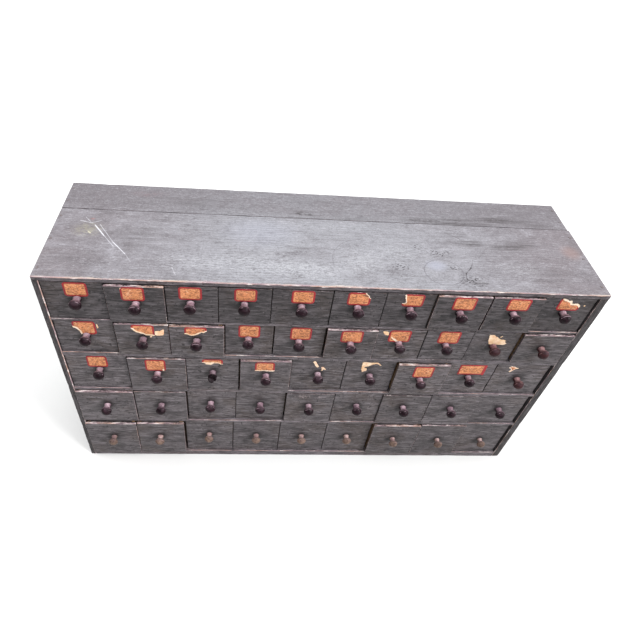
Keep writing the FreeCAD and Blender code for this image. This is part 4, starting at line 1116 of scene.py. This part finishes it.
def build_label(r, c, body, xc, zt, yf, seed):
    spec = LABELS[(r, c)]
    sheets = []                    # field, rim, torn, scrap, shade functions of points
    own = 37 * r + c

    def ragged(q, size):
        q3 = np.stack([q[:, 0], q[:, 1], np.full(len(q), own * 3.7)], 1)
        return size * (2.0 * layered(q3, 0.42, own, 3) - 1.0)

    def jag(q):
        return ragged(q, 1.5)

    if spec.get("box"):
        def whole(q, spec=spec):
            rim = inside_round(q, spec["box"], spec.get("round", 7.5))
            rim = rim + ragged(q, 0.25)
            torn = np.full(len(q), 60.0)
            for poly in spec.get("cut", []):
                torn = np.minimum(torn, -inside(q, poly) + jag(q))
            field = np.minimum(rim, torn)
            pulp = torn - (spec.get("margin", 2.2) - 1.6)
            for poly in spec.get("bare", []):
                pulp = np.minimum(pulp, -inside(q, poly) + 1.4 + jag(q))
            shade = np.zeros(len(q))
            for poly in spec.get("shade", []):
                shade = np.maximum(shade, smooth(inside(q, poly), -0.8, 1.2) * 0.9)
            return field, rim, pulp, np.zeros(len(q)), shade, torn
        sheets.append((spec["box"], whole, 0.25))
    if spec.get("second"):
        def second(q, spec=spec):
            rim = inside_round(q, spec["second"], 1.0) + ragged(q, 0.5)
            return rim, np.minimum(rim, 2.0), np.full(len(q), 40.0), np.zeros(len(q)), np.zeros(len(q)), np.full(len(q), 60.0)
        sheets.append((spec["second"], second, 0.18))
    for poly in spec.get("scraps", []):
        arr = np.array(poly)
        bounds_ = (arr[:, 0].min(), arr[:, 0].max(), arr[:, 1].max(), arr[:, 1].min())

        def scrap(q, poly=poly, redden=spec.get("redden", 0.0)):
            field = inside(q, poly) + ragged(q, 0.9)
            n = len(q)
            if redden:
                return field, np.full(n, 40.0), field - 0.4, np.zeros(n), np.zeros(n), field
            return field, np.full(n, 40.0), np.full(n, 40.0), np.ones(n), np.zeros(n), field
        sheets.append((bounds_, scrap, 0.2))

    V, F, A = [], [], {k: [] for k in ("rim", "torn", "scrap", "shade")}
    base = 0
    step = 1.5
    for (bx0, bx1, bz1, bz0), fn, thick in sheets:
        gx = np.arange(bx0 - 1.6, bx1 + 1.6 + step, step)
        gz = np.arange(bz0 - 1.6, min(bz1 + 1.6, -0.2) + step * 0.999, step)
        gz = gz[gz <= 0.6]
        gz[-1] = min(gz[-1], -0.35)
        q = np.stack(np.meshgrid(gx, gz, indexing="ij"), -1).reshape(-1, 2)
        field = fn(q)[0]
        flat, tris = trim(field, gx, gz)
        if not len(tris):
            continue
        _, rim, torn, scrap_, shade, tear = fn(flat)
        q3 = np.stack([flat[:, 0], flat[:, 1], np.full(len(flat), own * 1.3)], 1)
        lift = 0.16 * layered(q3, 0.16, own + 3, 2)
        curl = spec.get("curl", 0.35)
        lift = lift + curl * smooth(tear, 3.2, 0.0) * smooth(noise(q3, 0.12, own + 9), 0.35, 0.7)
        front = np.stack([xc + flat[:, 0] * MM, yf - (thick + lift) * MM, zt + flat[:, 1] * MM], 1)
        back = front.copy()
        back[:, 1] = yf - np.maximum(lift - 0.05, -0.05) * MM
        n = len(flat)
        V += [front, back]
        count = {}
        for t_ in tris:
            F.append([base + i for i in t_])
            F.append([base + n + i for i in reversed(t_)])
            for i, j in zip(t_, t_[1:] + t_[:1]):
                count[(i, j)] = True
        for (i, j) in count:
            if (j, i) not in count:
                F.append([base + j, base + i, base + n + i, base + n + j])
        for key, values in zip(("rim", "torn", "scrap", "shade"), (rim, torn, scrap_, shade)):
            A[key] += [values, values]
        base += 2 * n
    verts = np.concatenate(V)
    attrs = {k: np.concatenate(v) for k, v in A.items()}
    attrs["seed"] = np.full(len(verts), seed + 5)
    attrs["tone"] = np.full(len(verts), 0.94 + 0.12 * seed)
    obj = make("label_r%d_c%02d" % (r, c), verts, F, [label_paper], None, attrs)
    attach(obj, body)


nail_rusty = nail_iron()
wood_divider_shaded = divider_wood()
for r in COUNTS:
    for c in range(1, COUNTS[r] + 1):
        build_drawer(r, c)


# ---------------------------------------------------------------------- case

PROUD = {}
for r in COUNTS:
    PROUD[r] = []
    for c in range(1, COUNTS[r] + 1):
        lo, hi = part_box("drawer_r%d_c%02d" % (r, c))
        PROUD[r].append((lo.x, hi.x, FRONT_Y - (hi.y - LONG)))


def case_piece(name, node, moved, rest, quads, sides, material, wear, seed, tone=1.0, stain=None):
    n = len(moved)
    obj = make(name, moved, quads, [material] if not isinstance(material, list) else material,
               None if not isinstance(material, list) else np.where(np.isin(sides, (0, 1)), 1, 0),
               {"wear": wear, "seed": np.full(n, seed), "tone": np.full(n, tone),
                "stain": np.zeros(n) if stain is None else stain, "ghost": np.zeros(n)})
    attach(obj, "case")
    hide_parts(node)
    return obj


def bare_ledge(rest, row):
    """Where a drawer is set back, the board under it shows and is rubbed."""
    out = np.zeros(len(rest))
    for x0, x1, proud in PROUD[row]:
        if proud < -0.0005:
            in_x = smooth(rest[:, 0], x0 - 0.002, x0 + 0.002) * smooth(rest[:, 0], x1 + 0.002, x1 - 0.002)
            out = np.maximum(out, in_x * smooth(np.array([-proud]), 0.0, 0.004)[0])
    return out


# shelves and the bottom board, between the panels' inner faces
INNER_LEFT, INNER_RIGHT = PANEL_LEFT - HALF_W, HALF_W - PANEL_RIGHT
for node, row, seed in (("shelf_1", 1, 0.11), ("shelf_2", 2, 0.23), ("shelf_3", 3, 0.37), ("shelf_4", 4, 0.53),
                        ("bottom_board", 5, 0.71)):
    lo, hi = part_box(node)
    a = (INNER_LEFT + 0.0001, lo.y, lo.z)
    b = (INNER_RIGHT - 0.0001, hi.y, hi.z)
    moved, rest, quads, sides = plank(a, b, (0.009, 0.03, 0.004), 1.1 * MM, int(seed * 100), chips=2.0 * MM)
    bare = bare_ledge(rest, row)
    df, dt, db = rest[:, 1] - lo.y, hi.z - rest[:, 2], rest[:, 2] - lo.z
    wear = np.maximum.reduce([arris(dt, df, 1.0, 1.3 * MM) * (0.40 + 0.55 * bare), arris(db, df, 0.38, 1.0 * MM)])
    wear = np.where((dt < 0.0005) & (df < 0.007), np.maximum(wear, 0.30 * bare), wear)
    case_piece(node + "_plank", node, moved, rest, quads, sides, paint_case_x, wear, seed,
               tone={1: 0.84, 2: 0.86, 3: 0.96, 4: 0.95, 5: 0.92}[row])

# side panels with their rear rabbet
for node, left, seed in (("left_side_panel", True, 0.17), ("right_side_panel", False, 0.31)):
    lo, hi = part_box(node)
    edge_x = hi.x - 0.007 if left else lo.x + 0.007
    edge_y = hi.y - 0.010

    def kept(x, y, z, left=left, edge_x=edge_x, edge_y=edge_y):
        notch = (y > edge_y) & ((x > edge_x) if left else (x < edge_x))
        return ~notch

    a, b = np.array(lo), np.array(hi)
    xs = np.unique(np.round(np.concatenate([lines(a[0], b[0], 0.004), [edge_x]]), 6))
    ys = np.unique(np.round(np.concatenate([lines(a[1], b[1], 0.012), [edge_y]]), 6))
    zs = lines(a[2], b[2], 0.012)
    mx, my, mz = ((v[1:] + v[:-1]) / 2 for v in (xs, ys, zs))
    rest, quads, sides = shell(xs, ys, zs, kept(*np.meshgrid(mx, my, mz, indexing="ij")))
    rr = np.minimum(worn_radius(rest, 1.4 * MM, 60 + int(seed * 10), chips=2.4 * MM), 0.008)
    moved = soften(rest, a, b, rr)
    df = rest[:, 1] - lo.y
    inner = (hi.x - rest[:, 0]) if left else (rest[:, 0] - lo.x)
    outer = (rest[:, 0] - lo.x) if left else (hi.x - rest[:, 0])
    dbot = rest[:, 2] - lo.z
    wear = np.maximum.reduce([
        arris(inner, df, 1.15 if left else 0.75, 1.7 * MM),
        arris(outer, df, 0.40, 1.2 * MM),
        arris(outer, hi.y - rest[:, 1], 0.55, 2.0 * MM),
        arris(dbot, outer, 0.72, 3.5 * MM),
        arris(dbot, df, 0.70, 3.5 * MM)])
    case_piece(node + "_plank", node, moved, rest, quads, sides, paint_case_z, wear, seed, tone=0.64)

# the top's two boards
for node, seed, base in (("top_front_board", 0.43, 1.5), ("top_rear_board", 0.62, 1.2)):
    lo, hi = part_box(node)
    moved, rest, quads, sides = plank(lo, hi, (0.010, 0.010, 0.004), base * MM, int(seed * 100), chips=2.2 * MM)
    # boards this old are never quite flat
    wave = (layered(rest, 5.5, int(seed * 50), 3) - 0.5) * 0.9 * MM
    inside_top = smooth(np.minimum.reduce([rest[:, 0] - lo.x, hi.x - rest[:, 0], rest[:, 1] - lo.y, hi.y - rest[:, 1]]),
                        0.0, 0.03)
    moved = moved.copy()
    moved[:, 2] -= np.abs(wave) * inside_top * (rest[:, 2] > (lo.z + hi.z) / 2)
    df, dt = rest[:, 1] - lo.y, hi.z - rest[:, 2]
    dr, dl = hi.x - rest[:, 0], rest[:, 0] - lo.x
    dback = hi.y - rest[:, 1]
    if node == "top_front_board":
        along = 0.62 + 0.30 * noise(rest * (1, 0, 0), 7, 3) + 0.16 * np.exp(-((rest[:, 0] + 0.05) / 0.22) ** 2)
        along = along + 0.18 * np.exp(-((rest[:, 0] + 0.56) / 0.07) ** 2)
        wear = np.maximum.reduce([arris(dt, df, 1.0, 4.2 * MM) * along, arris(dt, dr, 0.45, 1.6 * MM),
                                  arris(dt, dl, 0.5, 1.6 * MM), arris(dt, dback, 0.20, 1.0 * MM),
                                  arris(rest[:, 2] - lo.z, df, 0.42, 1.2 * MM)])
    else:
        wear = np.maximum.reduce([arris(dt, dback, 0.6, 1.8 * MM), arris(dt, dr, 0.45, 1.6 * MM),
                                  arris(dt, dl, 0.55, 1.8 * MM), arris(dt, df, 0.20, 1.0 * MM)])
    tone = np.where((df < 0.0004) & (dt > 0.0016), 0.74, 1.0) if node == "top_front_board" else 0.94
    obj = case_piece(node + "_plank", node, moved, rest, quads, sides, paint_top, wear, seed, tone=tone)
    # the front edge is darker, like the rest of the case's front
    obj.data.materials.append(paint_case_x)
    which = np.where(np.isin(sides, (2, 3, 4, 0, 1)), 1, 0)
    obj.data.polygons.foreach_set("material_index", which.astype(np.int32))

# back planks
lo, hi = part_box("back_boards")
gap = 1.5 * MM
high = ((hi.z - lo.z) - 3 * gap) / 4
V, Q, W, R, base = [], [], [], [], 0
for i in range(4):
    z0 = lo.z + (high + gap) * i
    moved, rest, quads, sides = plank((lo.x, lo.y, z0), (hi.x, hi.y, z0 + high), (0.02, 0.004, 0.02), 1.0 * MM,
                                      70 + i, chips=1.8 * MM)
    V.append(moved)
    R.append(rest)
    Q.append(quads + base)
    W.append(arris(rest[:, 2] - z0, hi.y - rest[:, 1], 0.5, 1.5 * MM))
    base += len(moved)
V, Q, W = np.concatenate(V), np.concatenate(Q), np.concatenate(W)
back = make("back_planks", V, Q, [wood_back], None,
            {"wear": W, "seed": np.concatenate([np.full(len(m), 0.2 * (i + 1)) for i, m in enumerate(R)]),
             "tone": np.full(len(V), 0.95), "stain": np.zeros(len(V)), "ghost": np.zeros(len(V))})
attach(back, "case")
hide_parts("back_boards")

# CAD nodes that stay as they are take a finish
for node, material in (("upper_row_dividers", wood_divider_shaded), ("lower_row_dividers", wood_divider_shaded),
                       ("case_nails", nail_rusty)):
    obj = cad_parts[node]
    if not obj.material_slots:
        obj.data.materials.append(material)
    for slot_ in obj.material_slots:
        slot_.material = material


# --------------------------------------------------------- floor and lights

floor_mat = Tree("floor_pale")
fp = floor_mat.coord
grey = floor_mat.mix(floor_mat.step(floor_mat.noise(fp, 0.8, 4, 0.6), 0.3, 0.7), srgb(212, 211, 210), srgb(215, 215, 214))
floor_mat.finish(grey, 0.85)
mesh = bpy.data.meshes.new("floor")
s = 15.0
mesh.from_pydata([(-s, -s, 0), (s, -s, 0), (s, s, 0), (-s, s, 0)], [], [(0, 1, 2, 3)])
mesh.materials.append(floor_mat.mat)
floor_obj = bpy.data.objects.new("floor", mesh)
bpy.context.scene.collection.objects.link(floor_obj)

world = bpy.data.worlds.new("studio")
bpy.context.scene.world = world
world.use_nodes = True
world.node_tree.nodes["Background"].inputs["Color"].default_value = (0.93, 0.96, 1.0, 1)
world.node_tree.nodes["Background"].inputs["Strength"].default_value = 0.44


def sun(name, toward, strength, wide, colour=(1, 1, 1)):
    """A very large soft source; toward is the way to it, wide its angle in degrees."""
    data = bpy.data.lights.new(name, "SUN")
    data.energy = strength
    data.angle = math.radians(wide)
    data.color = colour
    obj = bpy.data.objects.new(name, data)
    obj.location = [3 * v for v in toward]
    obj.rotation_euler = Vector(toward).to_track_quat("Z", "Y").to_euler()
    bpy.context.scene.collection.objects.link(obj)


sun("overhead", (-0.05, -0.02, 1.0), 3.9, 66)
sun("key", (0.80, -0.46, 0.56), 3.1, 20)
